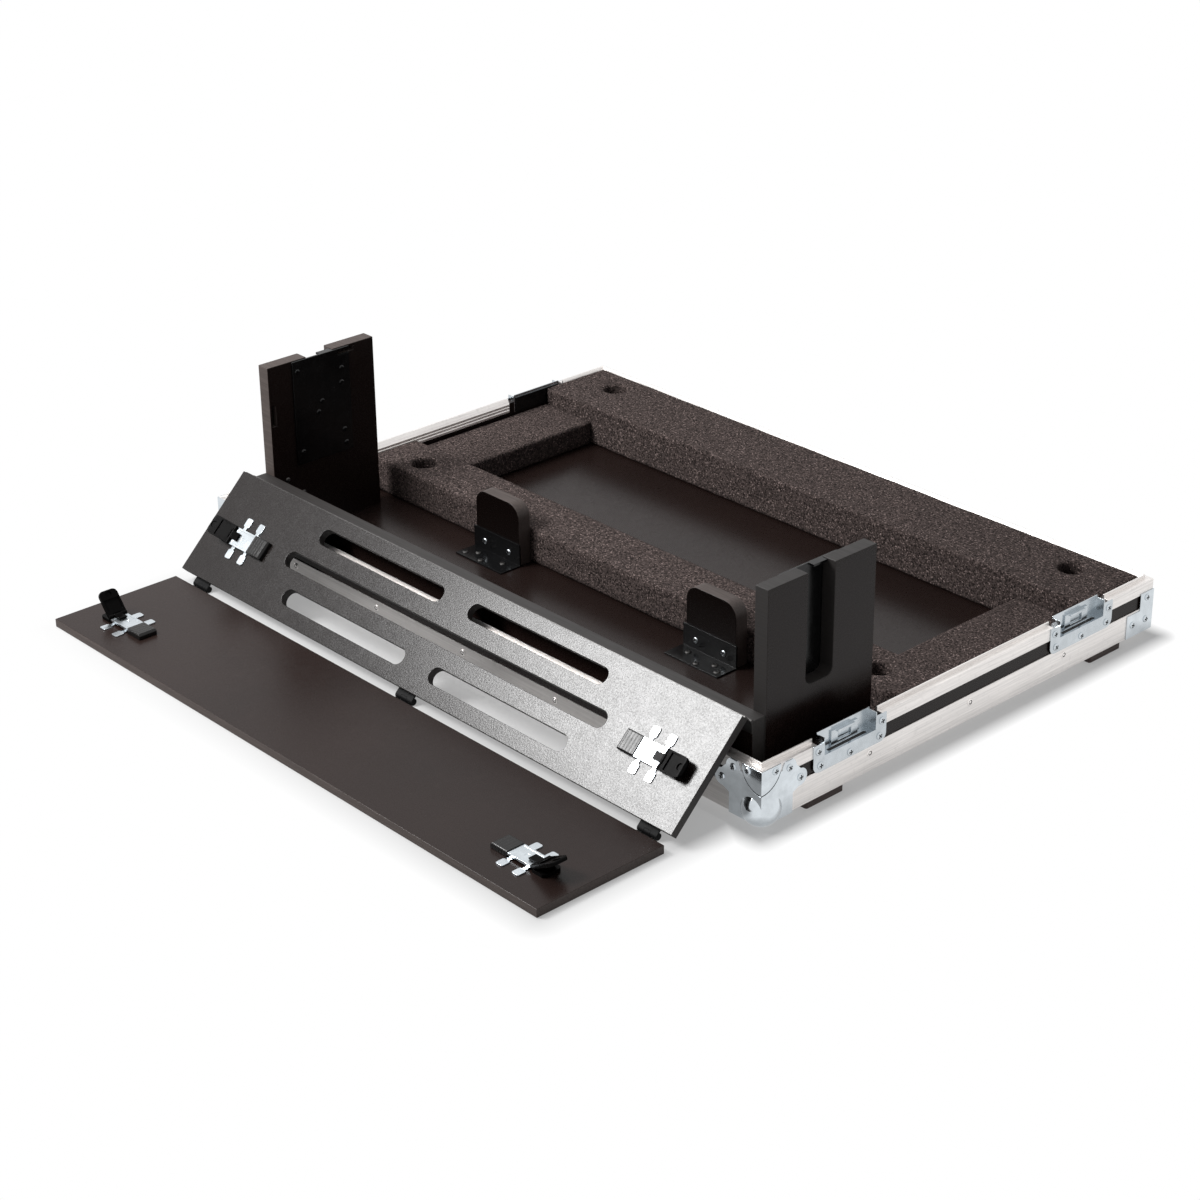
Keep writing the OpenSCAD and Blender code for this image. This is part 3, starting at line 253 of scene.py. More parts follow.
def foam_finish(name, colour):
    """Open-cell foam: dark pores of painted shade, paler struts and bright flecks of painted glint."""
    f = Finish(name)
    spot = f.place()
    pores = f.cells(spot, 330.0)
    grit = f.noise(spot, scale=360.0, detail=3.0, rough=0.8)
    painted_glint = f.noise(spot, scale=520.0, detail=2.0, rough=0.5)
    # Painted shade and light: the pores darkened to 0.2 and the struts lightened to 2.2 of the foam's colour
    fleck = f.span(grit + pores * 0.3, 0.5, 0.82)
    base = f.blend(fleck, tint(colour, 0.2), tint(colour, 2.2))
    # Painted glints: sparse flecks at seven times the foam's colour
    base = f.blend(f.span(painted_glint, 0.6, 0.7), base, tint(colour, 7.0))
    return f.surface(base_color=base, roughness=0.95, specular_ior_level=0.1,
                     normal=f.bump(grit + pores * 0.5, 1.4 * MM))


def brushed_finish(name, colour, along, rough=0.42):
    """Mill-finish metal with drawn lines along one axis."""
    f = Finish(name)
    lines = f.noise(f.place(drawn(along, 14.0, 700.0)), scale=1.0, detail=4.0, rough=0.65)
    bands = f.noise(f.place(drawn(along, 1.6, 240.0)), scale=1.0, detail=3.0, rough=0.55)
    spot = f.place()
    haze = f.noise(spot, scale=14.0, detail=4.0)
    grime = f.noise(spot, scale=150.0, detail=4.0, rough=0.7)
    base = f.blend(f.span(lines + bands * 0.5, 0.5, 1.0), tint(colour, 0.76), tint(colour, 1.08))
    base = f.blend(f.span(grime, 0.56, 0.78, 0.0, 0.4), base, tint(colour, 0.6))
    roughness = f.span(lines + haze * 0.6, 0.5, 1.1, rough - 0.08, rough + 0.12)
    return f.surface(base_color=base, metallic=1.0, roughness=roughness,
                     normal=f.bump(lines + bands * 0.6, 0.05 * MM, 0.7))


def plated_finish(name, colour, rough, mottle):
    """Zinc-plated sheet with a faint cloudy mottle."""
    f = Finish(name)
    spot = f.place()
    cloud = f.noise(spot, scale=60.0, detail=4.0, rough=0.6)
    scratch = f.noise(f.place(drawn("y", 60.0, 900.0)), scale=1.0, detail=4.0, rough=0.7)
    smear = f.noise(spot, scale=18.0, detail=3.0)
    base = f.blend(f.span(cloud, 0.32, 0.68), tint(colour, 1.0 - mottle), tint(colour, 1.0 + mottle))
    base = f.blend(f.span(smear, 0.5, 0.75, 0.0, mottle * 2.0), base, tint(colour, 0.62))
    roughness = f.span(smear + scratch * 0.35, 0.5, 0.95, rough - 0.06, rough + 0.1)
    return f.surface(base_color=base, metallic=1.0, roughness=roughness,
                     normal=f.bump(cloud, 0.2 * MM, 0.4))


def coated_finish(name, colour, rough, level, ribs=0.0):
    """Black coating or moulding with a slight skin, and grip ribs across X where they have a depth."""
    f = Finish(name)
    spot = f.place()
    skin = f.noise(spot, scale=520.0, detail=3.0, rough=0.6)
    wear = f.noise(spot, scale=60.0, detail=5.0, rough=0.65)
    base = f.blend(f.span(wear, 0.55, 0.8), tint(colour, 1.0), tint(colour, 1.6))
    relief = f.bump(skin, 0.01 * MM, 0.4)
    if ribs:
        wave = f.node("ShaderNodeTexWave", {"bands_direction": "X"}, {"Vector": spot, "Scale": 70.0}, "Fac")
        relief = f.bump(f.span(wave, 0.0, 0.3), ribs, 1.0, relief)
    roughness = f.span(wear, 0.3, 0.75, rough - 0.05, rough + 0.1)
    return f.surface(base_color=base, roughness=roughness, ior=1.5, specular_ior_level=level, normal=relief)


def stained_finish(name, colour, along):
    """Stained timber with open grain."""
    f = Finish(name)
    grain = f.noise(f.place(drawn(along, 24.0, 520.0)), scale=1.0, detail=4.0, rough=0.6)
    base = f.blend(f.span(grain, 0.35, 0.68), tint(colour, 0.82), tint(colour, 1.25))
    return f.surface(base_color=base, roughness=f.span(grain, 0.3, 0.7, 0.72, 0.55),
                     normal=f.bump(grain, 0.12 * MM, 0.7))


FINISHES = {}


def make_finishes(colours):
    film, metal, zinc = colours.film, colours.aluminium, colours.zinc
    black, moulding = colours.black_metal, colours.moulding
    FINISHES.update({
        "film": film_finish("Phenolic film", film),
        "post": film_finish("Dark film", tint(film, 0.25), rough=0.24),
        # Painted shade: the base board's film darkened to 0.72 for the shade inside the tray
        "base": film_finish("Film with painted shade in the tray", tint(film, 0.72)),
        "hammered": film_finish("Hammered film", tint(film, 0.35), grain=520.0, depth=0.09 * MM, rough=0.26,
                                level=0.48, uneven=0.07),
        "edge": stained_finish("Stained ply edge", colours.cut_edge, "x"),
        # Painted shade: the stained edge darkened to 0.16 for the flap's slot walls, the front board and the
        # right upright
        "painted_shade_edge": stained_finish("Ply edge with painted shade", tint(colours.cut_edge, 0.16), "x"),
        "foam": foam_finish("Cut foam", colours.foam),
        # Painted shade: the front wall's aluminium darkened to 0.74, as it lies behind the flap
        "aluminium_front": brushed_finish("Aluminium with painted shade", tint(metal, 0.74), "x"),
        "aluminium_x": brushed_finish("Aluminium along X", metal, "x"),
        "aluminium_y": brushed_finish("Aluminium along Y", metal, "y"),
        "rivet": plated_finish("Aluminium rivet", metal, rough=0.35, mottle=0.05),
        "zinc": plated_finish("Blue zinc", zinc, rough=0.2, mottle=0.08),
        "corner": plated_finish("Corner zinc", tint(zinc, 1.15), rough=0.08, mottle=0.1),
        "bright": plated_finish("Bright zinc", tint(zinc, 1.1), rough=0.28, mottle=0.08),
        # The hinge's own dark steel, also painted shade on screw heads below a height
        "steel": brushed_finish("Hinge steel and painted head shade", tint(metal, 0.08), "x", rough=0.4),
        "black_metal": coated_finish("Black coated metal", black, rough=0.2, level=0.3),
        "strap": coated_finish("Dull black steel", black, rough=0.6, level=0.15),
        "block": coated_finish("Latch block", moulding, rough=0.26, level=0.3, ribs=0.1 * MM),
        "moulding": coated_finish("Black moulding", tint(moulding, 0.5), rough=0.22, level=0.03),
        # Painted shade: a near-black finish on the faces inside screw crosses and rivet grooves
        "recess": coated_finish("Painted shade in recesses", black, rough=0.5, level=0.1),
        "foot": stained_finish("Foot timber", colours.foot, "y"),
    })


# Mesh building

def as_object(name, mesh):
    made = bpy.data.objects.new(name, mesh)
    bpy.context.scene.collection.objects.link(made)
    return made


def evaluated_copy(source, name):
    """A plain mesh object of what a source's modifiers give, which then goes."""
    graph = bpy.context.evaluated_depsgraph_get()
    mesh = bpy.data.meshes.new_from_object(source.evaluated_get(graph), depsgraph=graph)
    old = source.data
    bpy.data.objects.remove(source)
    if old.users == 0:
        bpy.data.meshes.remove(old)
    mesh.name = name
    return as_object(name, mesh)


def discard(thing):
    """Takes out an object and its mesh."""
    mesh = thing.data
    bpy.data.objects.remove(thing)
    bpy.data.meshes.remove(mesh)


def shade(piece, sharp):
    """Smooth shading that breaks at edges sharper than an angle in degrees."""
    piece.data.shade_smooth()
    piece.data.set_sharp_from_angle(angle=math.radians(sharp))
    return piece


def cad_mesh(node):
    """A CAD node's mesh with its corners joined and its flat faces whole."""
    bm = bmesh.new()
    bm.from_mesh(frame["nodes"][node].data)
    bmesh.ops.remove_doubles(bm, verts=bm.verts, dist=JOIN_WITHIN)
    bmesh.ops.dissolve_limit(bm, angle_limit=math.radians(0.5), verts=bm.verts, edges=bm.edges)
    return bm


def add_cut(target, tool):
    """Takes a tool's shape out of an object."""
    boolean = target.modifiers.new("Cut", "BOOLEAN")
    boolean.operation = "DIFFERENCE"
    boolean.solver = "EXACT"
    boolean.object = tool


def eased(node, width, segments=2, sharp=30.0, tool=None):
    """A copy of a CAD node, less the tool's shape, with its sharp edges rounded."""
    bm = cad_mesh(node)
    mesh = bpy.data.meshes.new(node + "_eased")
    bm.to_mesh(mesh)
    bm.free()
    source = as_object(node + "_eased", mesh)
    if tool:
        add_cut(source, tool)
    bevel = source.modifiers.new("Edge", "BEVEL")
    bevel.limit_method = "ANGLE"
    bevel.angle_limit = math.radians(sharp)
    bevel.width = width
    bevel.segments = segments
    bevel.harden_normals = False
    weight = source.modifiers.new("Weight", "WEIGHTED_NORMAL")
    weight.keep_sharp = True
    mesh.shade_smooth()
    made = evaluated_copy(source, node + "_eased")
    if tool:
        discard(tool)
    return made


def register_piece(piece, *nodes):
    """Ties a piece to the nodes it stands for and to their body."""
    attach(piece, BODY_OF[nodes[0]])
    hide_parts(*nodes)
    return piece


def dress(piece, finish, *nodes):
    """Gives a piece its finish, its body and the nodes it stands for."""
    piece.data.materials.clear()
    piece.data.materials.append(FINISHES[finish])
    return register_piece(piece, *nodes)


def show_cut_edges(piece, across, finish="edge"):
    """The second finish, for the faces that don't look along the board's thickness."""
    piece.data.materials.append(FINISHES[finish])
    axis = Vector(across)
    for face in piece.data.polygons:
        if abs(face.normal.dot(axis)) < EDGE_NORMAL:
            face.material_index = 1


def paint(node, finish):
    """A CAD node that keeps its shape and gets a better material."""
    mesh = frame["nodes"][node].data
    mesh.materials.clear()
    mesh.materials.append(FINISHES[finish])


def islands(node):
    """The separate solids of a CAD node, as lists of points."""
    bm = cad_mesh(node)
    seen = set()
    groups = []
    for first in bm.verts:
        if first in seen:
            continue
        seen.add(first)
        stack = [first]
        group = []
        while stack:
            vert = stack.pop()
            group.append(vert.co.copy())
            for edge in vert.link_edges:
                other = edge.other_vert(vert)
                if other not in seen:
                    seen.add(other)
                    stack.append(other)
        groups.append(group)
    bm.free()
    return groups


def head_places(node):
    """Where each head of a fastener node sits, which way it faces, and its radius."""
    places = []
    for points in islands(node):
        low = Vector([min(p[i] for p in points) for i in range(3)])
        high = Vector([max(p[i] for p in points) for i in range(3)])
        size = high - low
        axis = min(range(3), key=lambda i: size[i])
        middle = (low + high) / 2
        others = [i for i in range(3) if i != axis]
        spread = {}
        for end, at in ((-1, low[axis]), (1, high[axis])):
            near = [p for p in points if abs(p[axis] - at) < END_BAND]
            spread[end] = max(math.hypot(*(p[i] - middle[i] for i in others)) for p in near)
        facing = 1 if spread[-1] > spread[1] else -1
        seat = middle.copy()
        seat[axis] = low[axis] if facing == 1 else high[axis]
        normal = Vector((0, 0, 0))
        normal[axis] = facing
        places.append((seat, normal, max(size[i] for i in others) / 2))
    return places


def revolve(bm, profile, steps):
    """Turns a profile of (radius, height) pairs round Z."""
    rings = []
    for radius, height in profile:
        if radius == 0:
            rings.append([bm.verts.new((0, 0, height))])
        else:
            turns = [2 * math.pi * i / steps for i in range(steps)]
            rings.append([bm.verts.new((radius * math.cos(a), radius * math.sin(a), height)) for a in turns])
    for lower, upper in zip(rings, rings[1:]):
        for i in range(steps):
            j = (i + 1) % steps
            corners = [ring[k % len(ring)] for ring, k in ((lower, i), (lower, j), (upper, j), (upper, i))]
            corners = list(dict.fromkeys(corners))
            if len(corners) > 2:
                bm.faces.new(corners)


def mesh_of(bm, name):
    bmesh.ops.recalc_face_normals(bm, faces=bm.faces)
    mesh = bpy.data.meshes.new(name)
    bm.to_mesh(mesh)
    bm.free()
    return mesh


def mark_recess_shade(template, inside):
    """Tells Geometry Nodes which faces of a head lie in its recess, where a dark finish paints the shade."""
    marks = template.data.attributes.new("recess", "BOOLEAN", "FACE")
    for face in template.data.polygons:
        marks.data[face.index].value = face.center.z > 0 and inside(face.center)
    return template


# Heads of radius 1, as radius and height from the middle of the underside out and up to the crown
SCREW_PROFILE = ((0, -0.05), (1.0, -0.05), (1.0, 0.06), (0.97, 0.16), (0.86, 0.28), (0.66, 0.36),
                 (0.4, 0.40), (0, 0.41))
RIVET_PROFILE = ((0, -0.05), (1.0, -0.05), (1.0, 0.06), (0.93, 0.18), (0.78, 0.26), (0.66, 0.26),
                 (0.58, 0.08), (0.5, 0.06), (0.44, 0.22), (0.3, 0.27), (0, 0.28))
# The cross recess at its floor and above the crown: reach of an arm, half its width, height
CROSS_LEVELS = ((0.4, 0.1, 0.03), (0.7, 0.17, 0.6))
QUARTER_TURNS = ((1, 0), (0, 1), (-1, 0), (0, -1))
# Where the heads' painted shade lies: half width and reach of the cross, radii and top of the groove
CROSS_FACES = (0.172, 0.68)
GROOVE_FACES = (0.42, 0.64, 0.24)
HEAD_CREASE = 50


def head(name, profile, steps):
    """A turned blank of a screw or rivet."""
    bm = bmesh.new()
    revolve(bm, profile, steps)
    return as_object(name, mesh_of(bm, name))


def bridge_rings(bm, lower, upper):
    """Closes a prism between two outlines."""
    bm.faces.new(lower)
    bm.faces.new(upper)
    for i in range(len(lower)):
        j = (i + 1) % len(lower)
        bm.faces.new((lower[i], lower[j], upper[j], upper[i]))


def cross_tool():
    """A plus-shaped prism that widens upwards."""
    bm = bmesh.new()
    rings = []
    for reach, half, height in CROSS_LEVELS:
        arm = ((reach, -half), (reach, half), (half, half))
        outline = [(x * c - y * s, x * s + y * c) for c, s in QUARTER_TURNS for x, y in arm]
        rings.append([bm.verts.new((x, y, height)) for x, y in outline])
    bridge_rings(bm, *rings)
    return as_object("cross_recess", mesh_of(bm, "cross_recess"))


def screw_template():
    """Pan head with a cross recess."""
    def inside(spot):
        near, far = sorted((abs(spot.x), abs(spot.y)))
        return near < CROSS_FACES[0] and far < CROSS_FACES[1]

    blank, tool = head("screw_template", SCREW_PROFILE, 28), cross_tool()
    add_cut(blank, tool)
    screw = evaluated_copy(blank, "screw_template")
    discard(tool)
    return mark_recess_shade(shade(screw, HEAD_CREASE), inside)


def rivet_template():
    """Domed head with the groove round a set pin."""
    def inside(spot):
        inner, outer, top = GROOVE_FACES
        return inner < math.hypot(spot.x, spot.y) < outer and spot.z < top

    return mark_recess_shade(shade(head("rivet_template", RIVET_PROFILE, 24), HEAD_CREASE), inside)


def fastener_tree(name, template, material):
    """Geometry Nodes: a head on each point, facing the way the point's attribute says, with painted shade on
    its recess faces.
    """
    tree = bpy.data.node_groups.new(name, "GeometryNodeTree")
    face = tree.interface
    face.new_socket("Geometry", in_out="INPUT", socket_type="NodeSocketGeometry")
    face.new_socket("Scale", in_out="INPUT", socket_type="NodeSocketFloat")
    face.new_socket("Seed", in_out="INPUT", socket_type="NodeSocketInt")
    face.new_socket("Geometry", in_out="OUTPUT", socket_type="NodeSocketGeometry")

    def add(kind, **settings):
        made = tree.nodes.new(kind)
        for key, value in settings.items():
            setattr(made, key, value)
        return made

    start = add("NodeGroupInput")
    facing = add("GeometryNodeInputNamedAttribute", data_type="FLOAT_VECTOR")
    facing.inputs["Name"].default_value = "facing"
    radius = add("GeometryNodeInputNamedAttribute", data_type="FLOAT")
    radius.inputs["Name"].default_value = "head_radius"
    align = add("FunctionNodeAlignRotationToVector", axis="Z")
    turn = add("FunctionNodeRandomValue", data_type="FLOAT")
    turn.inputs[2].default_value = 0.0
    turn.inputs[3].default_value = math.pi
    spin = add("FunctionNodeAxisAngleToRotation")
    rotate = add("FunctionNodeRotateRotation", rotation_space="LOCAL")
    size = add("ShaderNodeMath", operation="MULTIPLY")
    info = add("GeometryNodeObjectInfo")
    info.inputs["Object"].default_value = template
    instance = add("GeometryNodeInstanceOnPoints")
    realize = add("GeometryNodeRealizeInstances")
    coat = add("GeometryNodeSetMaterial")
    coat.inputs["Material"].default_value = material
    marked = add("GeometryNodeInputNamedAttribute", data_type="BOOLEAN")
    marked.inputs["Name"].default_value = "recess"
    shadow = add("GeometryNodeSetMaterial")
    shadow.inputs["Material"].default_value = FINISHES["recess"]
    end = add("NodeGroupOutput")
    link = tree.links.new
    link(start.outputs["Geometry"], instance.inputs["Points"])
    link(start.outputs["Seed"], turn.inputs["Seed"])
    link(facing.outputs["Attribute"], align.inputs["Vector"])
    link(align.outputs["Rotation"], rotate.inputs["Rotation"])
    link(turn.outputs[1], spin.inputs["Angle"])
    link(spin.outputs["Rotation"], rotate.inputs["Rotate By"])
    link(rotate.outputs["Rotation"], instance.inputs["Rotation"])
    link(radius.outputs["Attribute"], size.inputs[0])
    link(start.outputs["Scale"], size.inputs[1])
    link(size.outputs[0], instance.inputs["Scale"])
    link(info.outputs["Geometry"], instance.inputs["Instance"])
    link(instance.outputs["Instances"], realize.inputs["Geometry"])
    link(realize.outputs["Geometry"], coat.inputs["Geometry"])
    link(marked.outputs["Attribute"], shadow.inputs["Selection"])
    link(coat.outputs["Geometry"], shadow.inputs["Geometry"])
    link(shadow.outputs["Geometry"], end.inputs["Geometry"])
    return tree


def fasteners(name, node, template, finish, scale, seed):
    """Detailed heads where a CAD node has plain ones."""
    places = head_places(node)
    mesh = bpy.data.meshes.new(name)
    mesh.from_pydata([seat for seat, _, _ in places], [], [])
    mesh.attributes.new("facing", "FLOAT_VECTOR", "POINT")
    mesh.attributes.new("head_radius", "FLOAT", "POINT")
    facing, radius = mesh.attributes["facing"], mesh.attributes["head_radius"]
    for i, (_, normal, r) in enumerate(places):
        facing.data[i].vector = normal
        radius.data[i].value = r
    source = as_object(name, mesh)
    modifier = source.modifiers.new("Heads", "NODES")
    tree = fastener_tree(name + "_heads", template, FINISHES[finish])
    sockets = {item.name: item.identifier for item in tree.interface.items_tree if item.in_out == "INPUT"}
    modifier.node_group = tree
    modifier[sockets["Scale"]] = scale
    modifier[sockets["Seed"]] = seed
    return register_piece(evaluated_copy(source, name), node)


def paint_shade_below(piece, finish, height):
    """Paints shade: another, darker finish for the faces below a height."""
    piece.data.materials.append(FINISHES[finish])
    for face in piece.data.polygons:
        if face.center.z < height:
            face.material_index = len(piece.data.materials) - 1


def sizes():
    return bpy.context.scene.case_sizes


def colours():
    return bpy.context.scene.case_colours


# Operators: one for each group of pieces

class CASE_OT_boards(bpy.types.Operator):
    """Walls and base with new finishes, and uprights, posts and the board of the bay with eased edges"""
    bl_idname = "case.boards"
    bl_label = "Boards"

    def execute(self, context):
        # Painted shade: the base gets the film darkened for the tray's inside
        paint("base_board", "base")
        for node in ("front_wall_panel", "back_wall_panel", "left_wall_panel", "right_wall_panel"):
            paint(node, "film")
        # Painted shade: darkened edges on the front board and the right upright
        for node, across, finish, edge in (("front_board", (0, 1, 0), "film", "painted_shade_edge"),
                                           ("left_upright", (1, 0, 0), "film", "edge"),
                                           ("right_upright", (1, 0, 0), "film", "painted_shade_edge"),
                                           ("left_stop_post", (0, 1, 0), "post", "edge"),
                                           ("right_stop_post", (0, 1, 0), "post", "edge")):
            piece = dress(eased(node, sizes().board_edge), finish, node)
            show_cut_edges(piece, across, edge)
        return {"FINISHED"}


# Cuts in an extrusion's inner face, as depth into the metal and height above its lower lip, in mm:
# the tongue's lead-in slope and two drawn grooves
EXTRUSION_CUTS = (((-0.5, 10.4), (3.74, 20.0), (-0.5, 20.0)),
                  ((-0.2, 9.5), (1.1, 8.5), (-0.2, 7.5)),
                  ((-0.2, 5.4), (1.1, 4.4), (-0.2, 3.4)))


def groove_tool(node):
    """The prisms that shape the inner face of a lid extrusion."""
    low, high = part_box(node)
    across = 1 if node.startswith(("front", "back")) else 0
    along = 1 - across
    outwards = 1 if low[across] > 0 else -1
    face = low[across] if outwards == 1 else high[across]
    bm = bmesh.new()
    for outline in EXTRUSION_CUTS:
        ends = []
        for reach in (low[along] - MM, high[along] + MM):
            ring = []
            for depth, height in outline:
                point = [0.0, 0.0, low[2] + height * MM]
                point[across] = face + outwards * depth * MM
                point[along] = reach
                ring.append(bm.verts.new(point))
            ends.append(ring)
        bridge_rings(bm, *ends)
    return as_object(node + "_tool", mesh_of(bm, node + "_tool"))


class CASE_OT_edge_metal(bpy.types.Operator):
    """Lid extrusions and edge angles in brushed aluminium"""
    bl_idname = "case.edge_metal"
    bl_label = "Edge metal"

    def execute(self, context):
        for side in ("front", "back", "left", "right"):
            # The front side gets aluminium darkened for painted shade
            finish = {"front": "aluminium_front", "back": "aluminium_x"}.get(side, "aluminium_y")
            angle, extrusion = side + "_edge_angle", side + "_lid_extrusion"
            dress(eased(angle, sizes().metal_edge, 1), finish, angle)
            dress(eased(extrusion, sizes().metal_edge, 1, tool=groove_tool(extrusion)), finish, extrusion)
        return {"FINISHED"}


class CASE_OT_corners(bpy.types.Operator):
    """Ball corners, braces and rear corner plates"""
    bl_idname = "case.corners"
    bl_label = "Corners"

    def execute(self, context):
        for node in ("front_ball_corners", "front_corner_braces", "rear_corner_plates"):
            dress(eased(node, sizes().metal_edge, 1), "corner", node)
        return {"FINISHED"}


class CASE_OT_dishes(bpy.types.Operator):
    """Recessed latch dishes with their keepers and backing plates"""
    bl_idname = "case.dishes"
    bl_label = "Latch dishes"

    def execute(self, context):
        for node in ("left_latch_dishes", "right_latch_dishes", "dish_keepers"):
            dress(eased(node, sizes().metal_edge, 2), "zinc", node)
        paint("dish_backing_plates", "black_metal")
        return {"FINISHED"}


class CASE_OT_fasteners(bpy.types.Operator):
    """Screws and rivets of the tray"""
    bl_idname = "case.fasteners"
    bl_label = "Screws and rivets"

    def execute(self, context):
        screw, rivet = screw_template(), rivet_template()
        seed = sizes().screw_turns
        fasteners("wall_rivets", "edge_rivets", rivet, "rivet", 1.0, seed)
        fasteners("corner_fixings", "corner_screws", screw, "bright", 1.05, seed + 1)
        fasteners("dish_fixings", "dish_screws", screw, "bright", 1.05, seed + 2)
        fixings = fasteners("bracket_fixings", "bracket_screws", screw, "bright", 0.95, seed + 3)
        # Painted shade: screw heads on the bracket's floor leg get the dark hinge steel
        paint_shade_below(fixings, "steel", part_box("left_post_bracket")[0][2] + FLOOR_LEG)
        bolts = fasteners("slot_plate_fixings", "slot_plate_bolts", screw, "black_metal", 0.85, seed + 4)
        # Painted shade: bolt heads below the slot plate get the dark hinge steel
        paint_shade_below(bolts, "steel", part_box("left_slot_plate")[0][2])
        for template in (screw, rivet):
            discard(template)
        return {"FINISHED"}


class CASE_OT_foam(bpy.types.Operator):
    """Foam bars and blocks with soft edges and round pockets"""
    bl_idname = "case.foam"
    bl_label = "Foam"

    def execute(self, context):
        noise.seed_set(FOAM_SEED)
        for node in ("foam_back_bar", "foam_mid_bar", "foam_left_block", "foam_right_block"):
            bm = cad_mesh(node)
            source = as_object(node + "_cut", mesh_of(bm, node + "_cut"))
            grid = source.modifiers.new("Grid", "REMESH")
            grid.mode = "VOXEL"
            grid.voxel_size = sizes().foam_voxel
            soft = source.modifiers.new("Soft", "SMOOTH")
            soft.factor = 0.5
            soft.iterations = 2
            piece = evaluated_copy(source, node + "_cut")
            low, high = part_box(node)
            for vert in piece.data.vertices:
                wave = Vector()
                for waves, share in FOAM_WAVES:
                    wave += noise.noise_vector(vert.co * waves) * share
                moved = vert.co + wave * sizes().foam_wave
                for i in range(3):
                    vert.co[i] = min(max(moved[i], low[i]), high[i])
            piece.data.shade_smooth()
            dress(piece, "foam", node)
        return {"FINISHED"}


class CASE_OT_feet(bpy.types.Operator):
    """Feet under the tray"""
    bl_idname = "case.feet"
    bl_label = "Feet"

    def execute(self, context):
        dress(eased("feet", sizes().board_edge), "foot", "feet")
        return {"FINISHED"}


class CASE_OT_bay(bpy.types.Operator):
    """Slot plates and post brackets of the cable bay"""
    bl_idname = "case.bay"
    bl_label = "Cable bay"

    def execute(self, context):
        for node in ("left_slot_plate", "right_slot_plate", "left_post_bracket", "right_post_bracket"):
            dress(eased(node, sizes().metal_edge), "black_metal", node)
        return {"FINISHED"}


class CASE_OT_hinges(bpy.types.Operator):
    """Piano hinge and strap hinges of the cover"""
    bl_idname = "case.hinges"
    bl_label = "Hinges"

    def execute(self, context):
        for node in ("piano_hinge_fixed_leaf", "piano_hinge_moving_leaf", "piano_hinge_pin"):
            paint(node, "steel")
        for node in ("flap_strap_leaves", "cover_strap_leaves", "strap_hinge_pins"):
            paint(node, "strap")
        return {"FINISHED"}


class CASE_OT_panels(bpy.types.Operator):
    """Slotted flap and top cover"""
    bl_idname = "case.panels"
    bl_label = "Cover panels"

    def execute(self, context):
        flap = dress(eased("slotted_flap", sizes().board_edge), "hammered", "slotted_flap")
        # Painted shade: darkened edges on the flap's slot walls and rims
        show_cut_edges(flap, (0, math.cos(FLAP_OPEN), math.sin(FLAP_OPEN)), "painted_shade_edge")
        cover = dress(eased("top_cover", sizes().board_edge), "film", "top_cover")
        show_cut_edges(cover, (0, 0, 1))
        return {"FINISHED"}


class CASE_OT_latches(bpy.types.Operator):
    """Slide latches of both panels"""
    bl_idname = "case.latches"
    bl_label = "Panel latches"

    def execute(self, context):
        edge = sizes().metal_edge
        for panel in ("flap", "cover"):
            bridges, blocks = panel + "_latch_bridges", panel + "_latch_blocks"
            dress(eased(bridges, edge), "bright", bridges)
            dress(eased(blocks, edge * BLOCK_ROUNDING), "block", blocks)
            for side in ("left", "right"):
                for part in ("bar", "lever"):
                    node = "%s_%s_latch_%s" % (panel, side, part)
                    dress(eased(node, edge * LEVER_ROUNDING), "moulding", node)
        return {"FINISHED"}


def lamp(name, place, aim, size, power):
    data = bpy.data.lights.new(name, "AREA")
    data.shape = "RECTANGLE"
    data.size, data.size_y = size
    data.energy = power
    made = bpy.data.objects.new(name, data)
    made.location = place
    made.rotation_euler = (Vector(aim) - Vector(place)).to_track_quat("-Z", "Y").to_euler()
    bpy.context.scene.collection.objects.link(made)


def outside(f, spot, low, high):
    """How far a point of the floor lies outside a rectangle."""
    def vector_math(operation, first, second=(0, 0, 0), output=0):
        return f.node("ShaderNodeVectorMath", {"operation": operation}, {0: first, 1: second}, output)

    middle = ((low[0] + high[0]) / 2, (low[1] + high[1]) / 2, 0)
    half = ((high[0] - low[0]) / 2, (high[1] - low[1]) / 2, 1)
    from_middle = vector_math("ABSOLUTE", vector_math("SUBTRACT", spot, middle))
    beyond = vector_math("MAXIMUM", vector_math("SUBTRACT", from_middle, half))
    return vector_math("LENGTH", beyond, output="Value")


def make_floor():
    """A pale floor that goes white to the eye a little way from the case, and keeps the shadow beside it."""
    bm = bmesh.new()
    bmesh.ops.create_grid(bm, x_segments=2, y_segments=2, size=9.0)
    floor = as_object("floor", mesh_of(bm, "floor"))
    f = Finish("Pale floor")
    camera, glossy = f.path("Is Camera Ray"), f.path("Is Glossy Ray")
    spot = f.place()
    cover_low, cover_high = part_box("top_cover")
    tray = outside(f, spot, (CAD_BOX[0][0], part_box("front_ball_corners")[0][1]), CAD_BOX[1])
    panels = outside(f, spot, cover_low, (cover_high[0], 0.0))
    paper = f.span(f.noise(spot, scale=6.0), 0.3, 0.7)
    diffuse = f.node("ShaderNodeBsdfPrincipled", None, {
        "Base Color": f.blend(paper, (0.50, 0.50, 0.50), (0.53, 0.53, 0.53)), "Roughness": 0.9,
        "Specular IOR Level": 0.0})
    glow = f.node("ShaderNodeEmission", None, {"Color": (1, 1, 1, 1), "Strength": 1.0})
    beside_tray = camera * f.span(tray, 0.0, 0.023, 0.3, 1.0) + glossy * f.span(tray, 0.0, 0.03, 0.5, 1.0)
    beside_panels = (camera + glossy) * f.span(panels, 0.0, 0.035, 0.33, 1.0)
    share = beside_tray.lesser(beside_panels)
    f.node("ShaderNodeOutputMaterial", None, {
        "Surface": f.node("ShaderNodeMixShader", None, {0: share, 1: diffuse, 2: glow})})
    floor.data.materials.append(f.material)


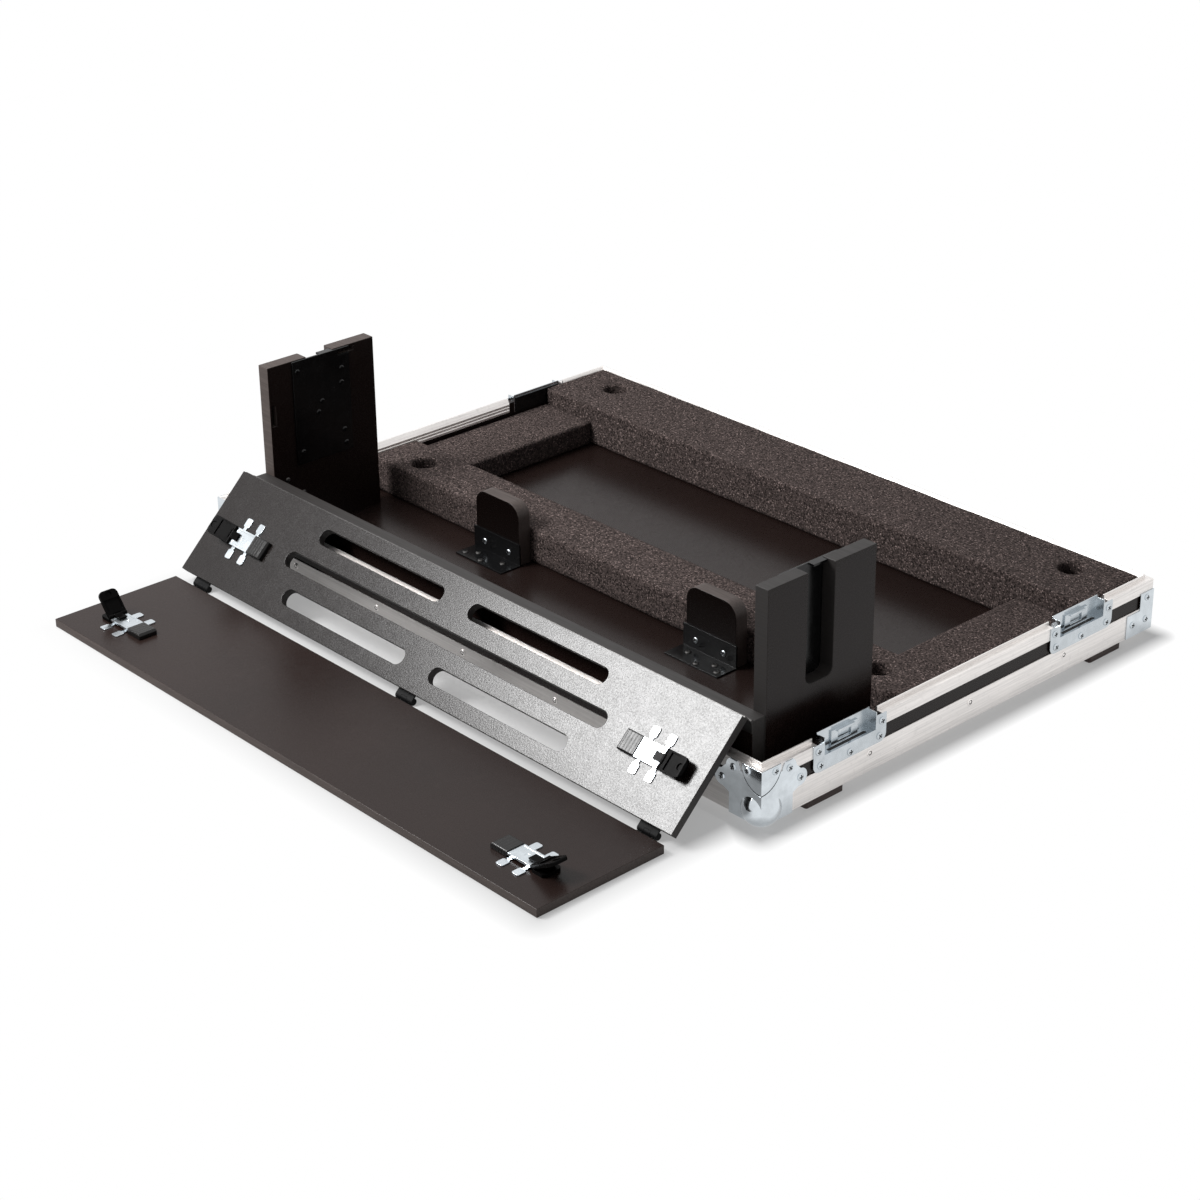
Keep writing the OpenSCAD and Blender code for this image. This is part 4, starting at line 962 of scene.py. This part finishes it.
def make_world():
    """White to the eye, in reflections and through clear parts, and dim as a light."""
    world = bpy.data.worlds.new("Studio")
    bpy.context.scene.world = world
    f = Finish("Studio", world)
    seen = f.path("Is Camera Ray").greater(f.path("Is Glossy Ray")).greater(f.path("Is Transmission Ray"))
    light = f.node("ShaderNodeBackground", None, {"Color": (0.95, 0.97, 1.0, 1.0), "Strength": 0.16})
    white = f.node("ShaderNodeBackground", None, {"Color": (1, 1, 1, 1), "Strength": 1.0})
    f.node("ShaderNodeOutputWorld", None, {
        "Surface": f.node("ShaderNodeMixShader", None, {0: seen, 1: light, 2: white})})


def make_camera():
    data = bpy.data.cameras.new("Camera")
    data.sensor_width = 36.0
    data.lens = FOCAL_LENGTH / PHOTO_SIDE * data.sensor_width
    data.shift_x = (PHOTO_SIDE / 2 - OPTICAL_CENTRE[0]) / PHOTO_SIDE
    data.shift_y = (OPTICAL_CENTRE[1] - PHOTO_SIDE / 2) / PHOTO_SIDE
    data.clip_end = 50
    camera = bpy.data.objects.new("Camera", data)
    forward = Vector((math.sin(YAW) * math.cos(PITCH), math.cos(YAW) * math.cos(PITCH), -math.sin(PITCH)))
    right = Vector((math.cos(YAW), -math.sin(YAW), 0))
    up = right.cross(forward)
    turned_right = math.cos(ROLL) * right + math.sin(ROLL) * up
    turned_up = -math.sin(ROLL) * right + math.cos(ROLL) * up
    basis = Matrix((turned_right, turned_up, -forward)).transposed()
    camera.matrix_world = Matrix.Translation(EYE) @ basis.to_4x4()
    bpy.context.scene.collection.objects.link(camera)
    bpy.context.scene.camera = camera


class CASE_OT_stage(bpy.types.Operator):
    """Floor, light and camera"""
    bl_idname = "case.stage"
    bl_label = "Stage"

    def execute(self, context):
        make_floor()
        make_world()
        make_camera()
        lamp("Overhead", place=(-0.85, -0.15, 2.4), aim=(0, 0.1, 0), size=(1.6, 1.4), power=27)
        lamp("Front left", place=(-0.80, -1.20, 1.36), aim=(0.3, -0.2, 0.05), size=(0.8, 0.6), power=44)
        context.scene.view_settings.view_transform = "Standard"
        return {"FINISHED"}


PIECES = (CASE_OT_boards, CASE_OT_edge_metal, CASE_OT_corners, CASE_OT_dishes, CASE_OT_fasteners,
          CASE_OT_foam, CASE_OT_feet, CASE_OT_bay, CASE_OT_hinges, CASE_OT_panels, CASE_OT_latches)


class CASE_PT_sidebar(bpy.types.Panel):
    bl_idname = "CASE_PT_sidebar"
    bl_label = "Mixer Case Tray"
    bl_space_type = "VIEW_3D"
    bl_region_type = "UI"
    bl_category = "Mixer Case"

    def draw(self, context):
        scene = context.scene
        for group in (scene.case_sizes, scene.case_colours):
            box = self.layout.box()
            for name in group.__annotations__:
                box.prop(group, name)
        for operator in (CASE_OT_stage, *PIECES):
            self.layout.operator(operator.bl_idname)


CLASSES = (CaseSizes, CaseColours, CASE_OT_stage, *PIECES, CASE_PT_sidebar)


def register():
    for cls in CLASSES:
        bpy.utils.register_class(cls)
    bpy.types.Scene.case_sizes = bpy.props.PointerProperty(type=CaseSizes)
    bpy.types.Scene.case_colours = bpy.props.PointerProperty(type=CaseColours)


def unregister():
    del bpy.types.Scene.case_colours
    del bpy.types.Scene.case_sizes
    for cls in reversed(CLASSES):
        bpy.utils.unregister_class(cls)


def main():
    register()
    make_finishes(colours())
    bpy.ops.case.stage()
    for operator in PIECES:
        getattr(bpy.ops.case, operator.bl_idname.split(".")[1])()


if __name__ == "__main__":
    main()
